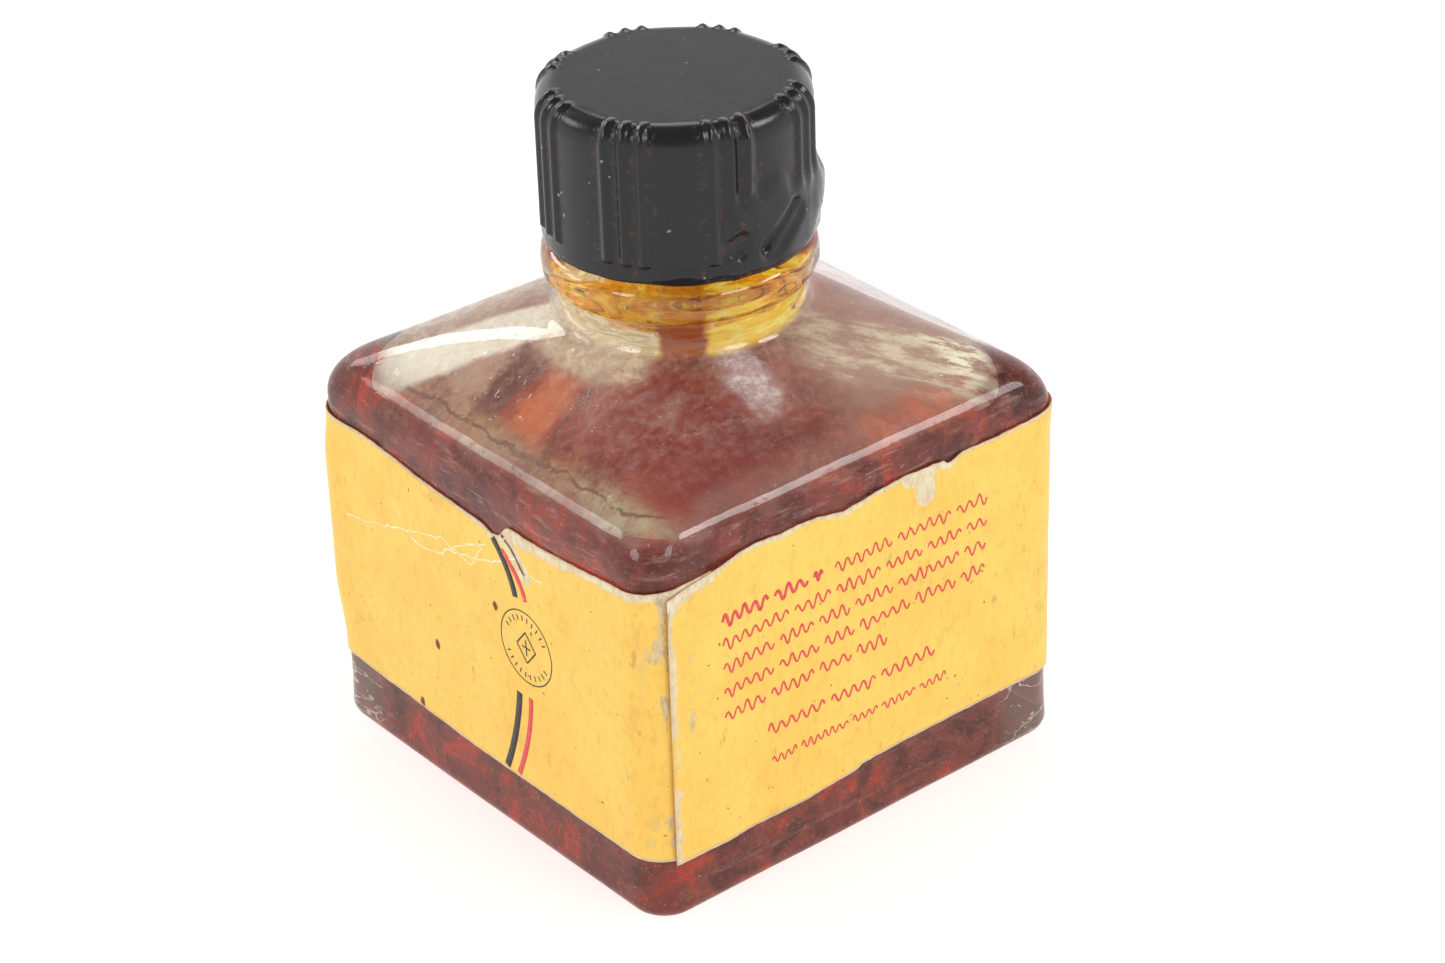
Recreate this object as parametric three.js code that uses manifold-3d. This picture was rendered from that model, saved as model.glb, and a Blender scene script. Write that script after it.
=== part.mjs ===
// A small square glass bottle with a screw cap that carries a brush. Millimetres, +Z up.
// The origin is the centre of the base, and the front label panel faces -Y.
import * as THREE from "three";
import { mergeVertices } from "three/addons/utils/BufferGeometryUtils.js";
import Module from "manifold-3d";

const wasm = await Module();
wasm.setup();

// ---------------------------------------------------------------- driving dimensions
const SEAT_GAP = 0.15; // air left between flat faces that rest on each other
const TURN = 2 * Math.PI;

// glass bottle, outside
const BODY_WIDTH = 41;
const WALL_TOP = 31.5; // where the side wall and the shoulder slope would meet
const CORNER_R = 2.8;
const HEEL_R = 1.2;
const RIM_R = 3.6;
const SHOULDER_SLOPE = THREE.MathUtils.degToRad(31);
const BASE_RECESS = 0.5;
const BASE_RIM = 4;
const NECK_R = 9.3;
const NECK_FILLET_R = 1.8;
const NECK_LENGTH = 2.27; // from the shoulder slope up to the bead
const BEAD_R = 10.5;
const BEAD_HEIGHT = 3.1;
const FINISH_R = 7.95; // neck wall behind the thread

// glass bottle, inside
const WALL = 2.6;
const BASE_THICKNESS = 3.2;
const INNER_CORNER_R = 5.5;
const INNER_HEEL_R = 3;
const INNER_RIM_R = 2.5;
const BORE_R = 6.2;

// screw thread, right-hand
const PITCH = 3.175;
const THREAD_HEIGHT = 0.9;
const THREAD_CLEARANCE = 0.3;
const NECK_THREAD = { root: 1.9, crest: 0.7, turns: 1.25 };
const NECK_THREAD_DROP = 1.4; // from the mouth down to the middle of the first ridge
const CAP_THREAD = { root: 1.5, crest: 0.5, turns: 1.4 };
const THREAD_STEPS = 40; // facets in one turn

// contents
const FILL_GAP = 0.3;
const FILL_DROP = 1.5; // from the wall top down to the liquid's level

// label
const LABEL_BOTTOM = 5.3;
const LABEL_DROP = 2.3; // from the wall top down to the label
const PAPER = 0.12;
const PAPER_GAP = 0.08;
const LABEL_LAP = 3; // how far the inner end reaches along the front panel, under the outer end
const LABEL_EASE = 2; // length over which the outer end comes down to the glass
const LABEL_START = THREE.MathUtils.degToRad(22.5);

// cap
const CAP_PANEL_R = 10.3;
const CAP_BEAD_GAP = 0.4;
const CAP_HEIGHT = 12.25;
const CAP_TOP_THICKNESS = 1.65;
const CAP_FLAT_R = 8.7;
const CAP_EDGE_RISE = 1.9;
const CAP_LIP_BEVEL = 0.3;
const RIB_HEIGHT = 0.3;
const RIB_GROUPS = 8;
const RIBS_IN_GROUP = 3;
const RIB_PITCH = THREE.MathUtils.degToRad(8.1);
const RIB_HALF_WIDTH = THREE.MathUtils.degToRad(3);
const RIB_FOOT = 1.4; // smooth band under the ribs
const RIB_PHASE = THREE.MathUtils.degToRad(-16.1);
const BOSS_R = 2.6;
const BOSS_LENGTH = 3.2;

// liner discs
const PULP = 0.9;
const FACING = 0.25;
const LINER_SIDE_GAP = 0.25;

// brush
const STEM_R = 1.6;
const STEM_FIT = 0.15;
const FERRULE_WALL = 0.35;
const TUFT_R = 2.5;
const TIP_CLEARANCE = 3.3; // from the floor of the cavity up to the tip of the hair
const HAIR_SHOWING = 10.5;
const HAIR_IN_FERRULE = 4;
const STEM_IN_FERRULE = 4.5;
const WELL_CLEARANCE = 0.6;

const RINGS_ROUND = 10; // facets in a quarter circle

// ---------------------------------------------------------------- derived places
const HALF = BODY_WIDTH / 2;
const INNER_HALF = HALF - WALL;
const SLOPE = Math.tan(SHOULDER_SLOPE);
const CAP_BORE_R = FINISH_R + THREAD_HEIGHT + THREAD_CLEARANCE;
const SOCKET_R = STEM_R + STEM_FIT;
const shoulderZ = (half) => WALL_TOP + (HALF - half) * SLOPE;
const ceilingZ = (half) => shoulderZ(half) - WALL / Math.cos(SHOULDER_SLOPE);
const BEAD_BOTTOM = shoulderZ(NECK_R) + NECK_LENGTH;
const BEAD_TOP = BEAD_BOTTOM + BEAD_HEIGHT;
const CAP_BOTTOM = BEAD_TOP + CAP_BEAD_GAP;
const CAP_TOP = CAP_BOTTOM + CAP_HEIGHT;
const CAP_CEILING = CAP_TOP - CAP_TOP_THICKNESS;
const PULP_BOTTOM = CAP_CEILING - SEAT_GAP - PULP;
const FACING_BOTTOM = PULP_BOTTOM - SEAT_GAP - FACING;
const NECK_TOP = FACING_BOTTOM - SEAT_GAP;
const NECK_THREAD_TOP = NECK_TOP - NECK_THREAD_DROP;
const FILL_LEVEL = WALL_TOP - FILL_DROP;
const LABEL_TOP = WALL_TOP - LABEL_DROP;
const TUFT_TIP = BASE_THICKNESS + TIP_CLEARANCE;
const FERRULE_BOTTOM = TUFT_TIP + HAIR_SHOWING;
const STEM_BOTTOM = FERRULE_BOTTOM + HAIR_IN_FERRULE;
const FERRULE_TOP = STEM_BOTTOM + STEM_IN_FERRULE;

// ---------------------------------------------------------------- helpers
// A closed geometry as a manifold solid with its faces outwards.
function solid(geometry) {
  const bare = new THREE.BufferGeometry();
  bare.setAttribute("position", geometry.getAttribute("position"));
  bare.setIndex(geometry.index);
  const merged = mergeVertices(bare, 1e-4);
  const corners = merged.index.array;
  const kept = [];
  for (let i = 0; i < corners.length; i += 3) {
    const [a, b, c] = corners.slice(i, i + 3);
    if (a !== b && b !== c && c !== a) kept.push(a, b, c);
  }
  const build = (order) =>
    new wasm.Manifold(
      new wasm.Mesh({
        numProp: 3,
        vertProperties: merged.attributes.position.array,
        triVerts: new Uint32Array(order),
      }),
    );
  const made = build(kept);
  return made.volume() > 0 ? made : build(kept.reverse());
}

// Rings of equal count, joined one to the next and closed by a fan at each end.
function loft(rings) {
  const count = rings[0].length;
  const points = rings.flat();
  const faces = [];
  for (let r = 0; r + 1 < rings.length; r++)
    for (let i = 0; i < count; i++) {
      const a = r * count + i;
      const b = r * count + ((i + 1) % count);
      faces.push(a, b, b + count, a, b + count, a + count);
    }
  const cap = (ring, flip) => {
    const middle = ring
      .reduce((sum, p) => sum.add(p), new THREE.Vector3())
      .divideScalar(count);
    const start = rings.indexOf(ring) * count;
    points.push(middle);
    for (let i = 0; i < count; i++) {
      const pair = [start + i, start + ((i + 1) % count)];
      faces.push(points.length - 1, ...(flip ? pair.reverse() : pair));
    }
  };
  cap(rings[0], true);
  cap(rings[rings.length - 1], false);
  const geometry = new THREE.BufferGeometry().setFromPoints(points);
  geometry.setIndex(faces);
  return geometry;
}

// A square outline with rounded corners; a radius equal to the half width makes a circle.
function roundedSquare(half, radius, z) {
  const ring = [];
  const centre = half - radius;
  for (let quarter = 0; quarter < 4; quarter++)
    for (let i = 0; i <= RINGS_ROUND; i++) {
      const middle = (quarter + 0.5) * (TURN / 4);
      const angle = (quarter + i / RINGS_ROUND) * (TURN / 4);
      ring.push(
        new THREE.Vector3(
          Math.SQRT2 * centre * Math.cos(middle) + radius * Math.cos(angle),
          Math.SQRT2 * centre * Math.sin(middle) + radius * Math.sin(angle),
          z,
        ),
      );
    }
  return ring;
}

const circle = (radius, z) => roundedSquare(radius, radius, z);

// Steps of an arc, from angle a to angle b inclusive.
const arc = (a, b, steps) =>
  Array.from({ length: steps + 1 }, (_, i) => a + ((b - a) * i) / steps);

// A turned solid from a profile of [radius, z] points that starts and ends on the axis.
function turned(profile) {
  const points = profile.map(([r, z]) => new THREE.Vector2(r, z));
  return new THREE.LatheGeometry(points, 4 * RINGS_ROUND).rotateX(Math.PI / 2);
}

// One thread ridge: a trapezium swept along a helix, running out to nothing at both ends.
// side is 1 for a ridge that stands out of a shaft and -1 for one that stands into a bore.
function threadRidge(wallR, side, form, centreZ) {
  const sink = 0.25;
  const steps = Math.round(form.turns * THREAD_STEPS);
  const start = -form.turns * TURN;
  const rings = [];
  for (let i = 0; i <= steps; i++) {
    const angle = start + (form.turns * TURN * i) / steps;
    const runOut = Math.min(1, (i + 0.3) / 5, (steps - i + 0.3) / 5);
    const z = centreZ + (angle / TURN) * PITCH;
    const crestR = wallR + side * THREAD_HEIGHT * runOut;
    const footR = wallR - side * sink;
    const section = [
      [footR, -form.root / 2],
      [wallR, -form.root / 2],
      [crestR, -form.crest / 2],
      [crestR, form.crest / 2],
      [wallR, form.root / 2],
      [footR, form.root / 2],
    ];
    rings.push(
      section.map(
        ([r, dz]) =>
          new THREE.Vector3(r * Math.cos(angle), r * Math.sin(angle), z + dz),
      ),
    );
  }
  return solid(loft(rings));
}

const root = new THREE.Group();

function addNode(name, made, color, roughness, metalness = 0) {
  const mesh = made.getMesh();
  const geometry = new THREE.BufferGeometry();
  const positions = new Float32Array(mesh.numVert * 3);
  for (let i = 0; i < mesh.numVert; i++)
    positions.set(mesh.vertProperties.subarray(i * mesh.numProp, i * mesh.numProp + 3), i * 3);
  geometry.setAttribute("position", new THREE.BufferAttribute(positions, 3));
  geometry.setIndex(new THREE.BufferAttribute(mesh.triVerts, 1));
  geometry.computeVertexNormals();
  const material = new THREE.MeshStandardMaterial({ color, roughness, metalness });
  const node = new THREE.Mesh(geometry, material);
  node.name = name;
  root.add(node);
}

// ---------------------------------------------------------------- glass bottle
// The corner radius grows from the rim to a full circle at the foot of the neck.
function shoulderRing(half, z, rimHalf, neckHalf, rimRadius) {
  const share = (rimHalf - half) / (rimHalf - neckHalf);
  const radius = rimRadius + (neckHalf - rimRadius) * share ** 2;
  return roundedSquare(half, Math.min(radius, half), z);
}

function bottleOutside() {
  const fold = Math.PI / 2 - SHOULDER_SLOPE;
  const rimStart = WALL_TOP - RIM_R * Math.tan(fold / 2);
  const rimEnd = HALF - RIM_R * (1 - Math.cos(fold));
  const neckStart = NECK_R + NECK_FILLET_R * Math.tan(fold / 2) * Math.cos(SHOULDER_SLOPE);
  const filletTop = shoulderZ(NECK_R) + NECK_FILLET_R * Math.tan(fold / 2);
  const rings = [
    roundedSquare(HALF - HEEL_R - BASE_RIM - BASE_RECESS, CORNER_R, BASE_RECESS),
    roundedSquare(HALF - HEEL_R - BASE_RIM, CORNER_R, 0),
  ];
  for (const a of arc(0, Math.PI / 2, 4)) {
    const inset = HEEL_R * (1 - Math.sin(a));
    rings.push(roundedSquare(HALF - inset, CORNER_R - inset / 2, HEEL_R * (1 - Math.cos(a))));
  }
  for (const a of arc(0, fold, 5)) {
    const inset = RIM_R * (1 - Math.cos(a));
    rings.push(roundedSquare(HALF - inset, CORNER_R, rimStart + RIM_R * Math.sin(a)));
  }
  for (const share of [0.25, 0.5, 0.75, 0.9, 1]) {
    const half = rimEnd + (neckStart - rimEnd) * share;
    rings.push(shoulderRing(half, shoulderZ(half), rimEnd, neckStart, CORNER_R));
  }
  for (const a of arc(fold, 0, 3).slice(1)) {
    const radius = NECK_R + NECK_FILLET_R * (1 - Math.cos(a));
    rings.push(circle(radius, filletTop - NECK_FILLET_R * Math.sin(a)));
  }
  const beadEdge = 0.35;
  rings.push(circle(NECK_R, BEAD_BOTTOM));
  rings.push(circle(BEAD_R - beadEdge, BEAD_BOTTOM + 0.2));
  rings.push(circle(BEAD_R, BEAD_BOTTOM + 0.2 + 2 * beadEdge));
  rings.push(circle(BEAD_R, BEAD_TOP - 2 * beadEdge));
  rings.push(circle(BEAD_R - beadEdge, BEAD_TOP - beadEdge / 2));
  rings.push(circle(BEAD_R - 3 * beadEdge, BEAD_TOP));
  rings.push(circle(FINISH_R, BEAD_TOP + 0.2));
  const lip = 0.4;
  rings.push(circle(FINISH_R, NECK_TOP - lip));
  rings.push(circle(FINISH_R - lip, NECK_TOP));
  return solid(loft(rings));
}

// The cavity from its floor to above the mouth, shrunk by gap all over.
function cavity(gap) {
  const half = INNER_HALF - gap;
  const corner = INNER_CORNER_R - gap;
  const heel = INNER_HEEL_R - gap;
  const floor = BASE_THICKNESS + gap;
  const fold = Math.PI / 2 - SHOULDER_SLOPE;
  const rim = INNER_RIM_R - gap;
  const bore = BORE_R - gap;
  const lid = (r) => ceilingZ(r) - gap / Math.cos(SHOULDER_SLOPE);
  const wallTop = lid(half);
  const rings = [];
  for (const a of arc(0, Math.PI / 2, 4)) {
    const inset = heel * (1 - Math.sin(a));
    rings.push(roundedSquare(half - inset, corner - inset / 2, floor + heel * (1 - Math.cos(a))));
  }
  for (const a of arc(0, fold, 3)) {
    const z = wallTop + rim * (Math.sin(a) - Math.tan(fold / 2));
    rings.push(roundedSquare(half - rim * (1 - Math.cos(a)), corner, z));
  }
  const rimEnd = half - rim * (1 - Math.sin(SHOULDER_SLOPE));
  const roundAt = bore + 2.4;
  for (const share of [0.35, 0.7, 1]) {
    const at = rimEnd + (roundAt - rimEnd) * share;
    rings.push(shoulderRing(at, lid(at), rimEnd, roundAt, corner));
  }
  const ease = 0.5;
  rings.push(circle(bore + ease, lid(bore + ease)));
  rings.push(circle(bore, lid(bore) + ease));
  rings.push(circle(bore, NECK_TOP - ease));
  rings.push(circle(bore + ease, NECK_TOP + 0.1));
  rings.push(circle(bore + ease, NECK_TOP + 2));
  return solid(loft(rings));
}

const neckThread = threadRidge(FINISH_R, 1, NECK_THREAD, NECK_THREAD_TOP);
addNode(
  "glass_bottle",
  bottleOutside().add(neckThread).subtract(cavity(0)),
  0xcfd6d0,
  0.05,
);

// ---------------------------------------------------------------- contents
// The liquid stands a little clear of the glass, with a round well that the brush hangs in.
function liquid() {
  const air = turned([
    [0, FILL_LEVEL],
    [BODY_WIDTH, FILL_LEVEL],
    [BODY_WIDTH, NECK_TOP * 2],
    [0, NECK_TOP * 2],
  ]);
  const wellR = TUFT_R + WELL_CLEARANCE;
  const well = turned([
    [0, TUFT_TIP - WELL_CLEARANCE],
    [wellR, TUFT_TIP - WELL_CLEARANCE],
    [wellR, FILL_LEVEL + 1],
    [0, FILL_LEVEL + 1],
  ]);
  return cavity(FILL_GAP).subtract(solid(air)).subtract(solid(well));
}
addNode("cement_fill", liquid(), 0x4a120a, 0.25);

// ---------------------------------------------------------------- label
// One strip of paper round all four faces. Its outer end starts part-way round the near left corner,
// lies over its inner end, and comes down to the glass past it.
function labelWrap() {
  const lapLift = PAPER + PAPER_GAP;
  const path = (lift) => {
    const half = HALF + PAPER_GAP + lift;
    const radius = CORNER_R + PAPER_GAP + lift;
    const straight = half - radius;
    const points = [];
    for (const a of arc(0.75 * TURN - LABEL_START, 0.75 * TURN, 3)) {
      const r = radius + lapLift;
      points.push([-straight + r * Math.cos(a), -straight + r * Math.sin(a)]);
    }
    points.push([-straight + LABEL_LAP + LABEL_EASE / 2, -half - lapLift]);
    points.push([-straight + LABEL_LAP + LABEL_EASE * 1.5, -half]);
    for (const quarter of [3, 4, 5, 6]) {
      const cx = quarter === 3 || quarter === 4 ? straight : -straight;
      const cy = quarter === 3 || quarter === 6 ? -straight : straight;
      for (const a of arc(quarter * (TURN / 4), (quarter + 1) * (TURN / 4), 6))
        points.push([cx + radius * Math.cos(a), cy + radius * Math.sin(a)]);
    }
    points.push([-straight + LABEL_LAP, -half]);
    return points;
  };
  const outline = [...path(0), ...path(PAPER).reverse()];
  const shape = new THREE.Shape(outline.map(([x, y]) => new THREE.Vector2(x, y)));
  const depth = LABEL_TOP - LABEL_BOTTOM;
  const strip = new THREE.ExtrudeGeometry(shape, { depth, bevelEnabled: false });
  return solid(strip.translate(0, 0, LABEL_BOTTOM));
}
addNode("label_wrap", labelWrap(), 0xf2bf5a, 0.8);

// ---------------------------------------------------------------- cap
// Angles round the cap with the share of the rib height at each.
function ribAngles() {
  const angles = [];
  const groupPitch = TURN / RIB_GROUPS;
  const outer = ((RIBS_IN_GROUP - 1) / 2) * RIB_PITCH + RIB_HALF_WIDTH;
  const plain = groupPitch - 2 * outer;
  for (let group = 0; group < RIB_GROUPS; group++) {
    const centre = RIB_PHASE + group * groupPitch;
    for (let rib = 0; rib < RIBS_IN_GROUP; rib++) {
      const middle = centre + (rib - (RIBS_IN_GROUP - 1) / 2) * RIB_PITCH;
      for (const [across, height] of [[-1, 0], [-0.6, 0.8], [0, 1], [0.6, 0.8], [1, 0]])
        angles.push([middle + across * RIB_HALF_WIDTH, height]);
    }
    for (const share of [1 / 3, 2 / 3]) angles.push([centre + outer + plain * share, 0]);
  }
  return angles;
}

function capOutside() {
  const angles = ribAngles();
  const ring = (panelR, ribHeight, z) =>
    angles.map(([angle, height]) => {
      const r = panelR + ribHeight * height;
      return new THREE.Vector3(r * Math.cos(angle), r * Math.sin(angle), z);
    });
  const rings = [
    ring(CAP_PANEL_R - CAP_LIP_BEVEL, 0, CAP_BOTTOM),
    ring(CAP_PANEL_R, 0, CAP_BOTTOM + CAP_LIP_BEVEL),
    ring(CAP_PANEL_R, 0, CAP_BOTTOM + RIB_FOOT),
    ring(CAP_PANEL_R, RIB_HEIGHT, CAP_BOTTOM + RIB_FOOT + RIB_HEIGHT),
  ];
  for (const a of arc(0, Math.PI / 2, 5)) {
    const radius = CAP_FLAT_R + (CAP_PANEL_R - CAP_FLAT_R) * Math.cos(a);
    const z = CAP_TOP - CAP_EDGE_RISE * (1 - Math.sin(a));
    rings.push(ring(radius, RIB_HEIGHT * Math.cos(a), z));
  }
  return solid(loft(rings));
}

function capInside() {
  const ease = 0.3;
  const mouthRise = 0.7;
  return solid(
    turned([
      [0, CAP_BOTTOM - 1],
      [CAP_BORE_R + ease, CAP_BOTTOM - 1],
      [CAP_BORE_R + ease, CAP_BOTTOM + mouthRise],
      [CAP_BORE_R, CAP_BOTTOM + mouthRise + ease],
      [CAP_BORE_R, CAP_CEILING],
      [BOSS_R, CAP_CEILING],
      [BOSS_R, CAP_CEILING - BOSS_LENGTH],
      [SOCKET_R, CAP_CEILING - BOSS_LENGTH],
      [SOCKET_R, CAP_CEILING - SEAT_GAP],
      [0, CAP_CEILING - SEAT_GAP],
    ]),
  );
}

// The cap's ridge follows the same helix as the neck's, just under it.
function capThread() {
  const midWidth = (form) => (form.root + form.crest) / 2;
  const drop = (midWidth(NECK_THREAD) + midWidth(CAP_THREAD)) / 2 + THREAD_CLEARANCE;
  return threadRidge(CAP_BORE_R, -1, CAP_THREAD, NECK_THREAD_TOP - drop);
}
addNode("cap_shell", capOutside().subtract(capInside()).add(capThread()), 0x1b1b1d, 0.3);

// ---------------------------------------------------------------- liner discs
function liner(bottom, thickness) {
  const hole = BOSS_R + LINER_SIDE_GAP;
  const rim = CAP_BORE_R - LINER_SIDE_GAP;
  const inner = new THREE.Path().absarc(0, 0, hole, 0, TURN, true);
  const shape = new THREE.Shape().absarc(0, 0, rim, 0, TURN, false);
  shape.holes.push(inner);
  const disc = new THREE.ExtrudeGeometry(shape, {
    depth: thickness,
    bevelEnabled: false,
    curveSegments: 4 * RINGS_ROUND,
  });
  return solid(disc.translate(0, 0, bottom));
}
addNode("liner_facing", liner(FACING_BOTTOM, FACING), 0xb9bcc0, 0.35, 0.9);
addNode("cap_liner", liner(PULP_BOTTOM, PULP), 0xb79e78, 0.9);

// ---------------------------------------------------------------- brush
const stemTop = CAP_CEILING - 2 * SEAT_GAP;
addNode(
  "brush_stem",
  solid(
    turned([
      [0, STEM_BOTTOM],
      [STEM_R - 0.2, STEM_BOTTOM],
      [STEM_R, STEM_BOTTOM + 0.2],
      [STEM_R, stemTop - 0.2],
      [STEM_R - 0.2, stemTop],
      [0, stemTop],
    ]),
  ),
  0x8a8d90,
  0.35,
  0.9,
);

// The ferrule is a short tube, pinched at its middle between the stem and the hair.
const ferruleBore = STEM_R + STEM_FIT;
const tuftRoot = STEM_BOTTOM - SEAT_GAP;
const tuftRootR = ferruleBore - FERRULE_WALL - STEM_FIT;
function ferrule() {
  const outerR = ferruleBore + FERRULE_WALL;
  const pinch = FERRULE_WALL;
  const pinchZ = (FERRULE_BOTTOM + tuftRoot) / 2;
  const body = turned([
    [0, FERRULE_BOTTOM],
    [outerR, FERRULE_BOTTOM],
    [outerR, pinchZ - 2 * pinch],
    [outerR - pinch, pinchZ - pinch / 2],
    [outerR - pinch, pinchZ + pinch / 2],
    [outerR, pinchZ + 2 * pinch],
    [outerR, FERRULE_TOP],
    [0, FERRULE_TOP],
  ]);
  const hole = turned([
    [0, FERRULE_BOTTOM - 1],
    [ferruleBore, FERRULE_BOTTOM - 1],
    [ferruleBore, pinchZ - 2 * pinch],
    [ferruleBore - pinch, pinchZ - pinch / 2],
    [ferruleBore - pinch, pinchZ + pinch / 2],
    [ferruleBore, pinchZ + 2 * pinch],
    [ferruleBore, FERRULE_TOP + 1],
    [0, FERRULE_TOP + 1],
  ]);
  return solid(body).subtract(solid(hole));
}
addNode("brush_ferrule", ferrule(), 0xa9a49a, 0.4, 0.9);

addNode(
  "brush_bristles",
  solid(
    turned([
      [0, TUFT_TIP],
      [TUFT_R * 0.35, TUFT_TIP + 0.3],
      [TUFT_R * 0.8, TUFT_TIP + 2],
      [TUFT_R, TUFT_TIP + 5],
      [TUFT_R * 0.85, FERRULE_BOTTOM - 3],
      [tuftRootR, FERRULE_BOTTOM - 0.5],
      [tuftRootR, tuftRoot],
      [0, tuftRoot],
    ]),
  ),
  0x2a1d16,
  0.8,
);

export default root;
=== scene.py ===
import random
from math import cos, pi, radians, sin, sqrt, tan

import bpy
import numpy as np
from mathutils import Matrix, Vector, noise


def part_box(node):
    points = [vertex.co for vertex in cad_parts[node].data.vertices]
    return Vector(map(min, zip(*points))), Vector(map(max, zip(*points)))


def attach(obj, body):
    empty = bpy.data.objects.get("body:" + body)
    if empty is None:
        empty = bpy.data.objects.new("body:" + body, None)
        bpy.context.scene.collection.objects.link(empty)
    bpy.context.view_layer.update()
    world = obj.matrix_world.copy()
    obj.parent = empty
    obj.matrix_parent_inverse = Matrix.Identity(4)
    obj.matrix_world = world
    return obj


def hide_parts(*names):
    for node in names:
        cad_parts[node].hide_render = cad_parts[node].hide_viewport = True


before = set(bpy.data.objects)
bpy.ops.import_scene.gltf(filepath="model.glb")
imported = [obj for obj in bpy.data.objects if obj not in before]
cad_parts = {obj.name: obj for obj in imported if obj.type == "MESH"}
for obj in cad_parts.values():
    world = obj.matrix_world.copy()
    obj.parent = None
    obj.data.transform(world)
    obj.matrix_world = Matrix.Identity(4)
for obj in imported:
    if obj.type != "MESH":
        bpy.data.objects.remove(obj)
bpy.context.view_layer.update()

# ---------------------------------------------------------------- the setting
# A pale paper sweep lit by soft boxes, with the bottle seen from above its label corner
# through a long lens. None of it is part of the bottle.
MM = 0.001
TURN = 2 * pi
AZIMUTH, ELEVATION, ROLL = (radians(a) for a in (-39.0, 30.02, -1.81))
DISTANCE = 0.29558
AIM_HEIGHT = 0.01845
AIM_ACROSS, AIM_UP = 0.00257, 0.00284
LENS = 94.05

flat = cos(ELEVATION)
back = Vector((sin(AZIMUTH) * flat, -cos(AZIMUTH) * flat, sin(ELEVATION)))
level = (-back).cross(Vector((0, 0, 1))).normalized()
upright = level.cross(-back)
across = level * cos(ROLL) + upright * sin(ROLL)
upward = upright * cos(ROLL) - level * sin(ROLL)
eye = Vector((0, 0, AIM_HEIGHT)) + back * DISTANCE + across * AIM_ACROSS + upward * AIM_UP

camera = bpy.data.objects.new("camera", bpy.data.cameras.new("camera"))
camera.data.lens = LENS
camera.data.sensor_width = 36
camera.data.clip_start = 0.01
camera.matrix_world = Matrix.Translation(eye) @ Matrix((across, upward, back)).transposed().to_4x4()
bpy.context.scene.collection.objects.link(camera)
bpy.context.scene.camera = camera
bpy.context.scene.view_settings.view_transform = "Standard"


class Signal:
    """A socket of a finish's nodes. Plain arithmetic on it adds Math nodes."""

    def __init__(self, finish, socket):
        self.finish = finish
        self.socket = socket

    def maths(self, operation, *terms):
        return self.finish.node("ShaderNodeMath", {"operation": operation}, terms)

    def __add__(self, other):
        return self.maths("ADD", self, other)

    def __sub__(self, other):
        return self.maths("SUBTRACT", self, other)

    def __rsub__(self, other):
        return self.maths("SUBTRACT", other, self)

    def __mul__(self, other):
        return self.maths("MULTIPLY", self, other)

    def __pow__(self, other):
        return self.maths("POWER", self, other)

    __radd__ = __add__


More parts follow.
